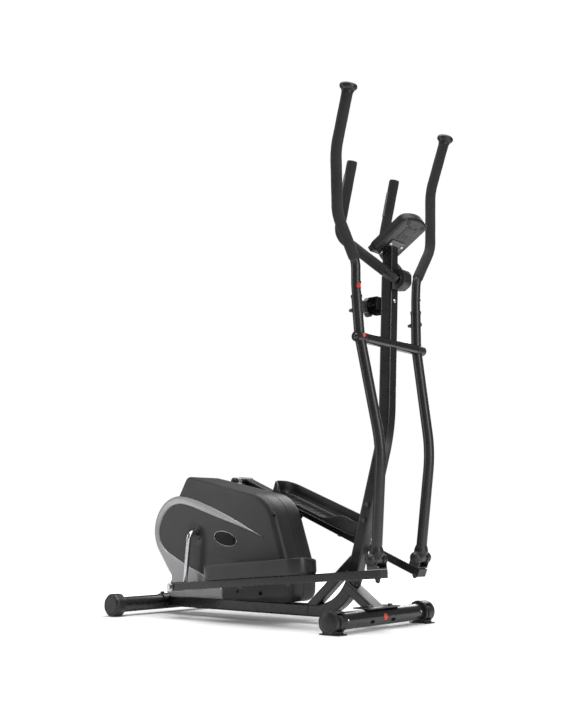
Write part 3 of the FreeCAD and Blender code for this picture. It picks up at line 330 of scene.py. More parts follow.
def spline(points, step=5.0):
    """A smooth curve through points in a plane, sampled evenly."""
    pts = [np.array(p, float) for p in points]
    pts = [2 * pts[0] - pts[1]] + pts + [2 * pts[-1] - pts[-2]]
    out = []
    for i in range(1, len(pts) - 2):
        p0, p1, p2, p3 = pts[i - 1:i + 3]
        count = max(2, int(np.linalg.norm(p2 - p1) / step))
        for k in range(count):
            t = k / count
            out.append(0.5 * (2 * p1 + (p2 - p0) * t + (2 * p0 - 5 * p1 + 4 * p2 - p3) * t * t
                              + (3 * p1 - p0 - 3 * p2 + p3) * t ** 3))
    out.append(pts[-2])
    return np.array(out)


# ---- housing ------------------------------------------------------------------------------------
SHELL_HALF = 75.0
SHELL_CORNERS = [(117, 61, 38), (117, 150, 120), (34, 393, 120), (-343, 469, 24), (-383, 401, 3),
                 (-503, 401, 118), (-503, 242, 118), (-409, 123, 18), (-458, 61, 20)]
CRANK_AT = (-290.0, 278.0)
TRIM_OUTER = [(-400, 409), (-385, 402), (-334, 396), (-271, 379), (-190, 351), (-111, 319),
              (-35, 285), (16, 262)]
TRIM_INNER = [(16, 262), (0, 268), (-111, 303), (-190, 325.5), (-271, 350), (-330, 367), (-376, 373.5),
              (-420, 363), (-452, 336), (-471, 300), (-473, 270), (-461, 240), (-437, 216), (-392, 193),
              (-337, 169), (-248, 135), (-168, 96)]


def shell_outline():
    pts = [(-100, 0, 61)] + [(c[0], 0, c[1]) for c in SHELL_CORNERS] + [(-100, 0, 61)]
    path = round_path(pts, [c[2] for c in SHELL_CORNERS], 5.0)
    return np.array([(p.x, p.z) for p in path[:-1]])


def rim_radius(outline):
    """How round the shell's edge is at each point: tight behind and below, broad at the front."""
    x, z = outline[:, 0], outline[:, 1]
    roof = 11 + 8 * smooth(-330, 10, x)
    front = smooth(-6, 60, x)
    r = roof * (1 - front) + 21 * front
    low = 1 - smooth(75, 150, z)
    r = r * (1 - low) + np.where(x > 0, 24, 12) * low
    kernel = np.ones(13) / 13
    return np.convolve(np.concatenate([r[-6:], r, r[:6]]), kernel, "valid")


def segment_distance(points, line, closed):
    """Distance from each point to a polyline, with the nearest segment and the place on it."""
    a = line if closed else line[:-1]
    b = np.roll(line, -1, 0) if closed else line[1:]
    ab = b - a
    ap = points[:, None, :] - a[None]
    t = np.clip((ap * ab).sum(2) / np.maximum((ab * ab).sum(1), 1e-9), 0, 1)
    gap = np.linalg.norm(ap - t[..., None] * ab, axis=2)
    near = gap.argmin(1)
    rows = np.arange(len(points))
    return gap[rows, near], near, t[rows, near]


def inside(points, polygon):
    x, z = points[:, 0], points[:, 1]
    hit = np.zeros(len(points), bool)
    for (x0, z0), (x1, z1) in zip(polygon, np.roll(polygon, -1, 0)):
        cross = (z0 > z) != (z1 > z)
        with np.errstate(divide="ignore", invalid="ignore"):
            hit ^= cross & (x < (x1 - x0) * (z - z0) / (z1 - z0) + x0)
    return hit


def offset_line(line, distance):
    step = np.gradient(line, axis=0)
    step /= np.linalg.norm(step, axis=1)[:, None]
    return line + np.stack([-step[:, 1], step[:, 0]], 1) * distance


def build_shell():
    """One half of the housing as dark and silver forms, drawn on the right."""
    outline = shell_outline()
    rim = rim_radius(outline)
    step = np.roll(outline, -1, 0) - np.roll(outline, 1, 0)
    step /= np.linalg.norm(step, axis=1)[:, None]
    inward = np.stack([-step[:, 1], step[:, 0]], 1)
    points, edges = [], []

    def line(pts, closed):
        base = len(points)
        points.extend(map(tuple, pts))
        count = len(pts)
        edges.extend((base + i, base + (i + 1) % count) for i in range(count if closed else count - 1))

    for k in range(9):
        turn = math.radians(90 * k / 8)
        line(outline + inward * (rim * (1 - math.cos(turn)))[:, None], True)
    outer, inner = spline(TRIM_OUTER), spline(TRIM_INNER)
    silver = np.concatenate([outer, inner[1:], [(-168, 50), (-560, 50), (-560, 409)]])
    drop = np.stack([np.full(12, -168.0), np.linspace(96, 50, 12)], 1)
    edge_lines = [outer, inner, drop]
    for base_line in edge_lines:
        for shift in (0, -1.2, -2.6, 1.2, 2.6, 4.5):
            moved = offset_line(base_line, shift)
            moved = moved[inside(moved, outline)]
            if len(moved) > 1:
                gaps = np.linalg.norm(np.diff(moved, axis=0), axis=1)
                cuts = np.where(gaps > 20)[0] + 1
                for part in np.split(moved, cuts):
                    if len(part) > 1:
                        line(part, False)
    gx, gz = np.meshgrid(np.arange(-505, 110, 8.0), np.arange(62, 470, 8.0))
    grid = np.stack([gx.ravel(), gz.ravel()], 1)
    gap, near, _ = segment_distance(grid, outline, True)
    free = inside(grid, outline) & (gap > rim[near] + 3)
    for base_line in edge_lines:
        free &= segment_distance(grid, base_line, False)[0] > 6
    points.extend(map(tuple, grid[free]))
    centre = np.array(CRANK_AT)
    for radius in (22, 27, 32, 37, 42, 47):
        angles = np.linspace(0, 2 * np.pi, 37)[:-1]
        line(centre + radius * np.stack([np.cos(angles), np.sin(angles)], 1), True)

    verts, _, tris, *_ = delaunay_2d_cdt([Vector(p) for p in points], edges, [], 1, 1e-5)
    flat = np.array([(v.x, v.y) for v in verts])
    gap, near, t = segment_distance(flat, outline, True)
    r = rim[near] * (1 - t) + rim[(near + 1) % len(rim)] * t
    inner_gap = np.clip(r - gap, 0, None)
    width = SHELL_HALF - (r - np.sqrt(np.maximum(r * r - inner_gap ** 2, 0)))
    signed = np.min([segment_distance(flat, base_line, False)[0] for base_line in edge_lines], axis=0)
    signed = np.where(inside(flat, silver), signed, -signed)
    lip = np.where(signed > 0, -1.4 + 3.4 * smooth(0, 2.6, signed) - 0.8 * smooth(4, 9, signed),
                   -1.4 * (1 - smooth(0, 2.6, -signed)))
    halo = np.hypot(*(flat - centre).T)
    width = width + (lip - 2.4 * (1 - smooth(27, 44, halo))) * smooth(0, 1, gap / r)

    counts = {}
    for tri in tris:
        for a, b in zip(tri, tri[1:] + tri[:1]):
            counts[frozenset((a, b))] = counts.get(frozenset((a, b)), 0) + 1
    is_silver = inside(np.array([flat[list(tri)].mean(0) for tri in tris]), silver)
    dark, bright = Form(), Form()
    spots = [Vector((flat[i][0], -width[i], flat[i][1])) for i in range(len(flat))]
    for wanted, form in ((False, dark), (True, bright)):
        form.verts = list(spots)
        form.faces = [list(tri) for tri, s in zip(tris, is_silver) if s == wanted]
    walls = {}

    def wall_column(i, form):
        key = (i, id(form))
        if key not in walls:
            column = [i]
            normal = inward[near[i]]
            for share, sink in ((0.62, 0), (0.3, 0), (0.03, 0), (0.018, 1.1), (0.0, 1.1)):
                x, z = flat[i] + normal * sink
                form.verts.append(Vector((x, -width[i] * share, z)))
                column.append(len(form.verts) - 1)
            walls[key] = column
        return walls[key]

    for (a, b) in (tuple(k) for k, v in counts.items() if v == 1):
        middle = (flat[a] + flat[b]) / 2 + inward[near[a]] * 0.5
        form = bright if inside(middle[None], silver)[0] else dark
        left, right = wall_column(a, form), wall_column(b, form)
        for k in range(len(left) - 1):
            form.faces.append([left[k], right[k], right[k + 1], left[k + 1]])
    return tidy(dark), tidy(bright)


def tidy(form):
    """Drops the vertices that no face uses."""
    used = sorted({i for f in form.faces for i in f})
    index = {old: new for new, old in enumerate(used)}
    out = Form()
    out.verts = [form.verts[i] for i in used]
    out.faces = [[index[i] for i in f] for f in form.faces]
    return out


dark_shell, silver_trim = build_shell()
for word, dark_form, silver_form in (("right", dark_shell, silver_trim),
                                     ("left", dark_shell.mirrored(), silver_trim.mirrored())):
    dark_form.piece("shell_" + word, MATERIALS["shell_plastic"], "frame", "shell_plastic",
                    ["housing_" + word], wall=2.4, sharp=50)
    silver_form.piece("shell_trim_" + word, MATERIALS["silver_plastic"], "frame", "silver_plastic",
                      ["trim_" + word], wall=2.4, sharp=50)


def shell_details():
    """The badge, screw recesses, crank bosses and raised dots on both sides of the housing."""
    tilt = Matrix.Rotation(math.radians(12), 4, "Y")
    for side, word in ((-1, "right"), (1, "left")):
        face = side * SHELL_HALF
        badge, rim = Form(), Form()
        at = Matrix.Translation((-156, face, 258)) @ tilt
        badge.lathe([(0, 3.0), (12, 2.9), (19, 2.4), (22.5, 1.6), (23.5, 0.2), (23.5, -1)],
                    (0, 0, 0), (0, 0, 1), 64, (2.1, 0.92))
        turn = Matrix.Rotation(math.radians(-90 * side), 4, "X")
        badge.verts = [at @ (turn @ v) for v in badge.verts]
        loops = []
        for k in range(8):
            a = 2 * math.pi * k / 8
            loops.append([((24.4 + 1.3 * math.cos(a)) * math.cos(b) + 26.6 * math.cos(b),
                           (22.4 + 1.0 * math.cos(a)) * math.sin(b), 1.3 * math.sin(a) + 0.6)
                          for b in (2 * math.pi * i / 64 for i in range(64))])
        rim.rings(loops, at @ turn, closed=True)
        badge.piece("badge_" + word, BADGE, "frame", "dark_plastic")
        rim.piece("badge_rim_" + word, MATERIALS["zinc"], "frame", "zinc")
        hole_shade_discs, lips = Form(), Form()
        for x, z, r in ((49, 332, 6.5), (0, 88, 6.5), (-100, 90, 4.0)):
            spot = min(dark_shell.verts, key=lambda v: (v.x - x) ** 2 + (v.z - z) ** 2 - abs(v.y) * 0.01)
            depth = side * abs(spot.y)
            lips.lathe([(r + 2.4, -1.5), (r + 2.2, 0.4), (r + 1.2, 0.9), (r, 0.5), (r - 0.4, -1.5)],
                       (x, depth, z), (0, side, 0), 28)
            # A near-black disc across each screw recess: painted shade.
            hole_shade_discs.lathe([(0.0, 0.5), (r * 0.5, 0.5), (r * 0.9, 0.6), (r, -1.2)],
                        (x, depth, z), (0, side, 0), 28)
        for i in range(24):
            for j in range(7):
                x = -214 + i * 5.6 + (j % 2) * 2.8
                z = 236 - j * 5.2 - i * 0.9
                lips.lathe([(1.25, -0.4), (1.0, 0.35), (0.5, 0.6)], (x, face, z), (0, side, 0), 8)
        lips.piece("shell_screw_rims_" + word, MATERIALS["shell_plastic"], "frame", "shell_plastic")
        hole_shade_discs.piece("shell_screw_hole_shade_" + word, PIT_SHADE, "frame", "dark_plastic")
        boss = Form()
        boss.lathe([(25, -4), (24.6, -1.2), (23.0, 0.2), (20, 0.6), (17.5, 0.2), (16.8, -0.6), (13.5, -0.6),
                    (12.8, 1.2), (10.6, 1.6), (9.2, 0.8), (9.0, -4)],
                   (CRANK_AT[0], face, CRANK_AT[1]), (0, side, 0))
        boss.piece("crank_seal_" + word, MATERIALS["dark_plastic"], "frame", "dark_plastic")


shell_details()

# ---- footplates ---------------------------------------------------------------------------------
PIVOT_AT = (461, 851)
ARM_LENGTH = 645.8
ARM_LEAN = math.radians(1.64)
CRANK_THROW = 178
CRANK_TURN = -95.6
PEDAL_LENGTH = 793.0
SWING_FOOT = (PIVOT_AT[0] + ARM_LENGTH * math.sin(ARM_LEAN), PIVOT_AT[1] - ARM_LENGTH * math.cos(ARM_LEAN))
KNUCKLE_UP = 41.0
KNUCKLE_ALONG = math.sqrt(PEDAL_LENGTH ** 2 - KNUCKLE_UP ** 2)
ARM_TOP_Z = 12.5
FOOT_FROM, FOOT_TO = 158.0, 575.0
FOOT_MID = -28.0
FOOT_HALF = 58.0


def crank_pin(side):
    """The middle of a crank's pin in the XZ plane: the left crank stands opposite the right one."""
    angle = math.radians(CRANK_TURN + (180 if side > 0 else 0))
    return CRANK_AT[0] + CRANK_THROW * math.cos(angle), CRANK_AT[1] + CRANK_THROW * math.sin(angle)


def pedal_tilt(side):
    pin = crank_pin(side)
    line = math.atan2(SWING_FOOT[1] - pin[1], SWING_FOOT[0] - pin[0])
    return line - math.asin(KNUCKLE_UP / PEDAL_LENGTH)


def pedal_place(side):
    """Takes a shape drawn on the right, along +X from below the knuckle, onto a pedal arm."""
    return (Matrix.Translation((SWING_FOOT[0], side * 117.0, SWING_FOOT[1]))
            @ Matrix.Rotation(-pedal_tilt(side), 4, "Y") @ Matrix.Translation((0, 0, -KNUCKLE_UP))
            @ Matrix.Scale(-1 if side > 0 else 1, 4, (0, 1, 0)))


def footplate(side, word):
    x0, x1 = FOOT_FROM - KNUCKLE_ALONG, FOOT_TO - KNUCKLE_ALONG
    lo, hi = FOOT_MID - FOOT_HALF, FOOT_MID + FOOT_HALF
    corners = [(x1, lo), (x1, hi), (x0, hi), (x0, lo)]
    mid = (x0 + x1) / 2
    closed = [(mid, lo, 0)] + [(x, y, 0) for x, y in corners] + [(mid, lo, 0)]
    loop = round_path(closed, [46, 52, 50, 44], 5.0)[:-1]
    count = len(loop)
    normals = []
    for i in range(count):
        d = (loop[(i + 1) % count] - loop[i - 1]).normalized()
        normals.append(Vector((-d.y, d.x, 0)))

    def wall(p):
        inner = smooth(FOOT_MID + 12, FOOT_MID + 48, p.y)
        dip = smooth(x0 + 30, x0 + 74, p.x) * (1 - smooth(x1 - 165, x1 - 75, p.x))
        toe = 8 * smooth(x1 - 60, x1, p.x) * smooth(FOOT_MID - 30, FOOT_MID + 20, p.y)
        return 49 - 35 * inner * dip - toe

    def floor(p):
        return 7 + 15 * smooth(x1 - 95, x1 - 12, p.x) ** 2

    def ring(inset, height):
        return [Vector((p.x + n.x * inset, p.y + n.y * inset, ARM_TOP_Z + height(p)))
                for p, n in zip(loop, normals)]

    rings = []
    for share in (0.35, 0.7):
        rings.append([Vector((mid + (p.x - mid) * share, FOOT_MID + (p.y - FOOT_MID) * share, ARM_TOP_Z))
                      for p in loop])
    rings += [ring(9, lambda p: 0), ring(4, lambda p: 0.6), ring(1.2, lambda p: 3), ring(0.5, lambda p: 8),
              ring(0.2, lambda p: wall(p) * 0.6), ring(0.0, lambda p: wall(p) - 3),
              ring(0.4, lambda p: wall(p) - 1),
              ring(2.0, wall), ring(4.0, lambda p: wall(p) - 0.6), ring(5.2, lambda p: wall(p) - 2.6),
              ring(6.2, lambda p: max(wall(p) * 0.5, floor(p) + 3)), ring(8.0, lambda p: floor(p) + 3),
              ring(11.0, lambda p: floor(p) + 1.0), ring(16.0, floor)]
    for share in (0.6, 0.35, 0.15):
        rings.append([Vector((mid + (p.x - mid) * share, FOOT_MID + (p.y - FOOT_MID) * share,
                              ARM_TOP_Z + floor(Vector((mid + (p.x - mid) * share, p.y, 0))))) for p in loop])
    at = pedal_place(side)
    tray = Form().rings(rings, at)
    ribs = Form()
    for i in range(24):
        x = x0 + 44 + i * 13.4
        ribs.block((x - 2.2, FOOT_MID - 40, ARM_TOP_Z + 6.0), (x + 2.2, FOOT_MID + 36, ARM_TOP_Z + 8.8),
                   1.2, at, 2)
    bead = round_path([(x0 + 66, FOOT_MID + 45, ARM_TOP_Z + 8), (x1 - 120, FOOT_MID + 45, ARM_TOP_Z + 8)], [])
    ribs_bead = Form().tube(bead, lambda a, b: 2.0 * min(1, (min(a, b) + 1) / 4), 10)
    ribs.add(ribs_bead.verts, ribs_bead.faces, at)
    tray.piece("tray_" + word, TRAY, "pedal_" + word, "dark_plastic", ["footplate_" + word], sharp=60)
    ribs.piece("tread_" + word, TRAY, "pedal_" + word, "dark_plastic")
    screws = Form()
    for along in (285, 470):
        x = along - KNUCKLE_ALONG
        screws.lathe([(8, -0.5), (7.6, 1.2), (6, 2.2), (3.4, 2.4), (3.0, 1.0), (0, 1.0)],
                     (x, 0, ARM_TOP_Z + 7), (0, 0, 1), 24)
    screws.verts = [at @ v for v in screws.verts]
    screws.piece("tray_screws_" + word, MATERIALS["black_steel"], "pedal_" + word, "black_steel")


for side, word in ((-1, "right"), (1, "left")):
    footplate(side, word)

# ---- swing arms: foam, caps, collars ------------------------------------------------------------
ARM_TOP = Vector((451.0, -161.0, 979.0))
ARM_NECK = Vector((455.5, -153.5, 858.0))
BAR = [Vector(p) for p in ((450.6, -162.5, 1010), (453, -165, 1080), (453, -254.5, 1204), (454, -261, 1402),
                           (507.7, -270.9, 1572.5))]


def foam_radius(r):
    def radius(a, b):
        end = min(a, b)
        soft = 1.8 * (1 - smooth(0, 5, end))
        return r - soft + 0.14 * math.sin(a * 0.09) + 0.08 * math.sin(a * 0.31 + 1)
    return radius


def swing_arm_details(side, word):
    body = "swing_arm_" + word
    bar_dir = (BAR[4] - BAR[3]).normalized()
    path = round_path([BAR[0]] + BAR[1:4] + [BAR[4] - bar_dir * 6], [75, 90, 200], 4.0)
    cut = Vector((0, -0.3, 0.95))
    path = [p for p in path if (p - Vector((453, -165, 1090))).dot(cut) >= 0]
    foam = Form().tube(path, foam_radius(17.0), 36)
    cap = Form().lathe([(13, -14), (17.6, -12), (18.4, -4), (21.0, -2.4), (24.4, 0.2), (26.5, 4.0),
                        (27.0, 8.2), (26.2, 12.0), (24.0, 15.2), (20.0, 17.6), (14.0, 18.8), (7.0, 19.0),
                        (0, 19.0)],
                       BAR[4], bar_dir, 48)
    groove = Form().lathe([(19.2, -6.0), (19.6, -5.4), (19.6, -4.2), (19.2, -3.6)], BAR[4], bar_dir, 40)
    cap.add(groove.verts, groove.faces)
    along = (ARM_TOP - ARM_NECK).normalized()
    lip = Form().lathe([(16.2, -9), (17.2, -8.4), (17.4, -2), (17.0, -0.3), (15.9, 0.4), (14.6, 0.4),
                        (14.5, -6)],
                       ARM_TOP, along, 40)
    foot = Vector((SWING_FOOT[0], -117, SWING_FOOT[1]))
    knee = Vector((512.0, -132.0, 526.0))
    shin = (knee - foot).normalized()
    collar = Form().lathe([(14, 8), (19.5, 10), (21.4, 15), (21.2, 22), (19.6, 29), (17.4, 35), (16.1, 37.5),
                           (15.0, 38)], foot, shin, 40)
    for way in (-1, 1):
        collar.lathe([(16.2, 0), (18.6, 1), (18.9, 5), (17.6, 7.6), (15.8, 8.2)],
                     foot + Vector((0, way * 15.0, 0)), (0, way, 0), 36)
    red = Form().lathe([(8.2, -2), (8.2, 0.5), (7.4, 0.9), (0, 1.0)], (467.5, -172.0, 1004.3),
                       (0.55, -0.83, 0.05), 32, (0.8, 1.0))
    forms = {"foam_sleeve": (foam, "foam", ["foam_grip_" + word]),
             "bar_cap": (cap, "dark_plastic", ["grip_cap_" + word]),
             "socket_lip": (lip, "arm_paint", []), "knuckle_shell": (collar, "dark_plastic", [])}
    for name, (form, slot, nodes) in forms.items():
        form = form.mirrored() if side > 0 else form
        obj = form.piece(name + "_" + word, MATERIALS[slot], body, slot, nodes)
    if side < 0:
        red.lathe([(6.0, -7), (6.0, 0.4), (5.4, 0.8), (0, 0.9)], (477.5, -161.5, 855.2),
                  (0.85, -0.5, 0.1), 28)
        red.piece("dots_arm", RED, body, "dark_plastic")


for side, word in ((-1, "right"), (1, "left")):
    swing_arm_details(side, word)

# ---- fixed handlebar ----------------------------------------------------------------------------
FIXED_TOP = Vector((406.8, -116, 1412))
FIXED_BEND = Vector((352, -116, 1190))
FIXED_ROOT = Vector((499, -34, 1047))


def fixed_details():
    grips = []
    up = (FIXED_TOP - FIXED_BEND).normalized()
    down = (FIXED_BEND - FIXED_ROOT).normalized()
    path = round_path([FIXED_TOP + up * 4, FIXED_BEND, FIXED_ROOT + down * 30], [55], 4.0)
    foam = Form().tube(path, foam_radius(16.3), 36)
    tip = Form().lathe([(15.6, -1), (15.4, 0.6), (13.0, 1.5), (7, 1.8), (0, 1.8)],
                       FIXED_TOP + up * 3.2, up, 36)
    sleeve = Form().lathe([(13.0, -14), (13.8, -12), (14.4, 0), (15.4, 14), (15.7, 30), (15.2, 32)],
                          FIXED_ROOT, down, 12)
    for word, forms in (("right", (foam, tip, sleeve)),
                        ("left", (foam.mirrored(), tip.mirrored(), sleeve.mirrored()))):
        grips.append(forms[0])
        forms[1].piece("fixed_tip_" + word, MATERIALS["dark_plastic"], "frame", "dark_plastic")
        forms[2].piece("fixed_sleeve_" + word, MATERIALS["dark_plastic"], "frame", "dark_plastic", sharp=20)
    both = Form().add(grips[0].verts, grips[0].faces).add(grips[1].verts, grips[1].faces)
    obj = both.piece("fixed_foam", MATERIALS["foam"], "frame", "foam", ["fixed_grips"])


fixed_details()


def clamp():
    """The faceted cover over the handlebar clamp, with round sockets for the bar and two screw pits;
    near-black discs in the sockets and pits are painted shade.
    """
    x, z = 499.0, 1047.0
    rear = 483.5
    profile = [(rear, -31), (rear + 22, -33), (rear + 40, -22), (rear + 46, -12), (rear + 46, 14),
               (rear + 38, 26), (rear + 20, 33), (rear, 31)]
    bm = bmesh.new()
    low = [bm.verts.new((px, -20.5, z + pz)) for px, pz in profile]
    high = [bm.verts.new((px, 20.5, z + pz)) for px, pz in profile]
    bm.faces.new(low)
    bm.faces.new(high[::-1])
    for i in range(len(profile)):
        j = (i + 1) % len(profile)
        bm.faces.new((low[i], high[i], high[j], low[j]))
    bmesh.ops.bevel(bm, geom=bm.edges[:], offset=2.4, segments=3, profile=0.5, affect="EDGES")
    form = Form().add([v.co for v in bm.verts], [[v.index for v in f.verts] for f in bm.faces])
    bm.free()
    for way in (-1, 1):
        form.lathe([(18.4, 0), (18.2, 4), (17.4, 5.6), (16.2, 5.8), (15.4, 5.0), (15.2, 0)],
                   (x + 2, way * 18, z), (0, way, 0), 32)
    form.piece("clamp_shell", MATERIALS["dark_plastic"], "frame", "dark_plastic", ["clamp_cover"], sharp=25)
    # Near-black discs in the bar sockets and the screw pits: painted shade.
    painted_pit_discs = Form()
    for way in (-1, 1):
        painted_pit_discs.lathe([(0, 0.2), (12.4, 0.2), (12.6, -2)], (x + 2, way * 22.6, z), (0, way, 0), 28)
    for dz in (-19, 19):
        painted_pit_discs.lathe([(4.6, -2), (4.6, 0.35), (3.6, 0.5), (0, 0.3)],
                   (rear + 45.6 - abs(dz) * 0.18, 0, z + dz * 0.7),
                   (1, 0, 0.35 * (1 if dz > 0 else -1)), 24)
    painted_pit_discs.piece("clamp_painted_pit_shade", PIT_SHADE, "frame", "dark_plastic")


clamp()

# ---- knob ---------------------------------------------------------------------------------------
KNOB_Z = 977.0
POST_HALF = 20


def post_middle(z):
    """The middle of the leaning post at a height."""
    return 443 + (z - 591) * 19.5 / 471


POST_REAR = post_middle(977) - POST_HALF


def knob():
    rings = []
    for h, scale in ((0, 0.80), (1.5, 0.90), (4, 0.98), (7, 1.0), (19, 1.0), (22.5, 0.96), (25, 0.86),
                     (26, 0.70), (25.4, 0.45), (24.6, 0.35), (24.6, 0.02)):
        ring = []
        for i in range(72):
            a = 2 * math.pi * i / 72
            lobe = 28.2 + 2.8 * math.cos(6 * (a - math.pi / 6)) if scale > 0.5 else 28
            ring.append((POST_REAR - 46.5 - h, lobe * scale * math.cos(a),
                         KNOB_Z + lobe * scale * math.sin(a)))
        rings.append(ring)
    Form().rings(rings).piece("knob_grip", MATERIALS["dark_plastic"], "knob", "dark_plastic",
                              ["tension_knob"])

    def box_ring(x, half):
        loop = round_path([(0, -half, 0), (half, -half, 0), (half, half, 0), (-half, half, 0),
                           (-half, -half, 0), (0, -half, 0)], [7, 7, 7, 7], 3.0)[:-1]
        return [(x, p.x, KNOB_Z + p.y * 27 / 26) for p in loop]

    steps = [(-46, 20), (-45.5, 22), (-44, 22.6)]
    for i in range(6):
        x = -43 + i * 6.4
        steps += [(x, 23.4), (x + 0.6, 25.4), (x + 4.0, 25.4), (x + 4.6, 23.4)]
    steps += [(-3.6, 23.4), (-3.4, 26), (-0.3, 26)]
    Form().rings([box_ring(POST_REAR + x, half) for x, half in steps]).piece(
        "knob_housing", MATERIALS["dark_plastic"], "frame", "dark_plastic", ["knob_base"])


knob()

# ---- stabiliser caps ----------------------------------------------------------------------------
FRONT_X, FRONT_Z = 408.0, 35.0
REAR_X, REAR_Z = -497.5, 37.0


def rear_cap():
    def section(y, flats, blend):
        ring = []
        for i in range(96):
            a = 2 * math.pi * i / 96
            fold = (a + math.pi / 8) % (math.pi / 4) - math.pi / 8
            r = flats / math.cos(fold)
            r = min(r, flats * 1.045) * (1 - blend) + flats * 1.02 * blend
            ring.append((REAR_X + r * math.cos(a), -y, REAR_Z + r * math.sin(a)))
        return ring

    steps = [(229, 26, 1), (229, 34.5, 0.3), (230.5, 36.4, 0), (233, 37, 0), (258, 37, 0), (262, 36.2, 0.2),
             (265, 34.2, 0.6), (266.6, 31.5, 1), (266.8, 29.5, 1), (265.6, 28.6, 1), (265.4, 26.8, 1),
             (266.6, 26.0, 1), (266.9, 14, 1), (266.9, 1, 1)]
    return Form().rings([section(*s) for s in steps])


def front_cap_trim():
    form = Form()
    form.lathe([(33.0, -3), (33.1, -0.5), (32.2, 1.4), (29.6, 2.6), (28.6, 2.2), (27.6, 3.0), (18, 5.3),
                (6, 6.1), (3.4, 6.2), (3.0, 5.4), (1.2, 5.4), (0.8, 6.6), (0, 6.8)],
               (FRONT_X, -253, FRONT_Z), (0, -1, 0), 64)
    for i in range(15):
        a = math.radians(-30 + i * 17)
        mat = (Matrix.Translation((FRONT_X, 0, FRONT_Z)) @ Matrix.Rotation(-a, 4, "Y"))
        form.block((32.2, -216, -2.0), (34.6, -205, 2.0), 0.9, mat, 2)
    return form


for word, rear_form, front_form in (("right", rear_cap(), front_cap_trim()),
                                    ("left", rear_cap().mirrored(), front_cap_trim().mirrored())):
    rear_form.piece("rear_cap_" + word, MATERIALS["dark_plastic"], "frame", "dark_plastic",
                    ["rear_caps"] if word == "right" else [], sharp=25)
    front_form.piece("front_cap_disc_" + word, MATERIALS["dark_plastic"], "frame", "dark_plastic")

# ---- console details ----------------------------------------------------------------------------
CONSOLE_AT = Matrix.Translation((427, 0, 1155)) @ Matrix.Rotation(math.radians(-32.3), 4, "Y")


def console_details():
    under = -27.0
    form = Form()
    form.block((76, -27, under - 1.2), (126, 27, under + 1.0), 1.0, CONSOLE_AT)
    for y in (-18, 18):
        form.block((126, y - 5, under - 1.6), (131, y + 5, under + 0.5), 0.7, CONSOLE_AT, 2)
    for i in range(5):
        form.block((84 + i * 3.2, -14, under - 1.8), (85.6 + i * 3.2, 14, under - 0.8), 0.3, CONSOLE_AT, 2)
    for x, y in ((140, -38), (140, 38), (16, -46), (16, 46)):
        cup = Form().lathe([(7, -1), (7, 1.0), (6.0, 1.6), (4.8, 1.2), (4.4, -0.6), (0, -0.6)], (x, y, under),
                           (0, 0, -1), 28)
        form.add(cup.verts, cup.faces, CONSOLE_AT)
    form.block((-14, -44, -8), (8, 44, 12), 4.0, CONSOLE_AT, 4)
    form.block((6, -40, 0), (10, 40, 8), 1.5, CONSOLE_AT, 3)
    form.piece("console_fittings", MATERIALS["dark_plastic"], "frame", "dark_plastic")
    edge = Form()
    rail = round_path([(2, 0, 0), (2, -63, 0), (143, -63, 0)], [20], 4.0)
    bow = [Vector((143 + 17 * (1 - (y / 63) ** 2) - 1.2, y, 0)) for y in np.linspace(-52, 52, 25)]
    path = [CONSOLE_AT @ (p + Vector((0, 0, -10))) for p in rail[:-3] + bow]
    edge.tube(path, 0.9, 8)
    screws = Form()
    for x, y in ((12, -29), (52, -29), (52, 29)):
        head = Form().lathe([(5.6, -0.5), (5.4, 1.4), (4.0, 2.8), (1.8, 3.1), (1.5, 2.2), (0, 2.2)],
                            (x, y, -30.4), (0, 0, -1), 24)
        screws.add(head.verts, head.faces, CONSOLE_AT)
    post_front = post_middle(1000) + POST_HALF
    screws.lathe([(7.0, -0.5), (6.8, 1.6), (5.0, 3.0), (2.0, 3.4), (1.6, 2.4), (0, 2.4)],
                 (post_front - 1, 0, 985), (1, 0, 0), 28)
    for y in (-188.6, 188.6):
        screws.lathe([(3.4, -0.5), (3.2, 0.8), (2, 1.6), (0, 1.8)], (FRONT_X + 24.6, y, FRONT_Z + 4),
                     (1, 0, 0.1), 20)
    screws.piece("bright_screws", MATERIALS["chrome"], "frame", "chrome")


console_details()


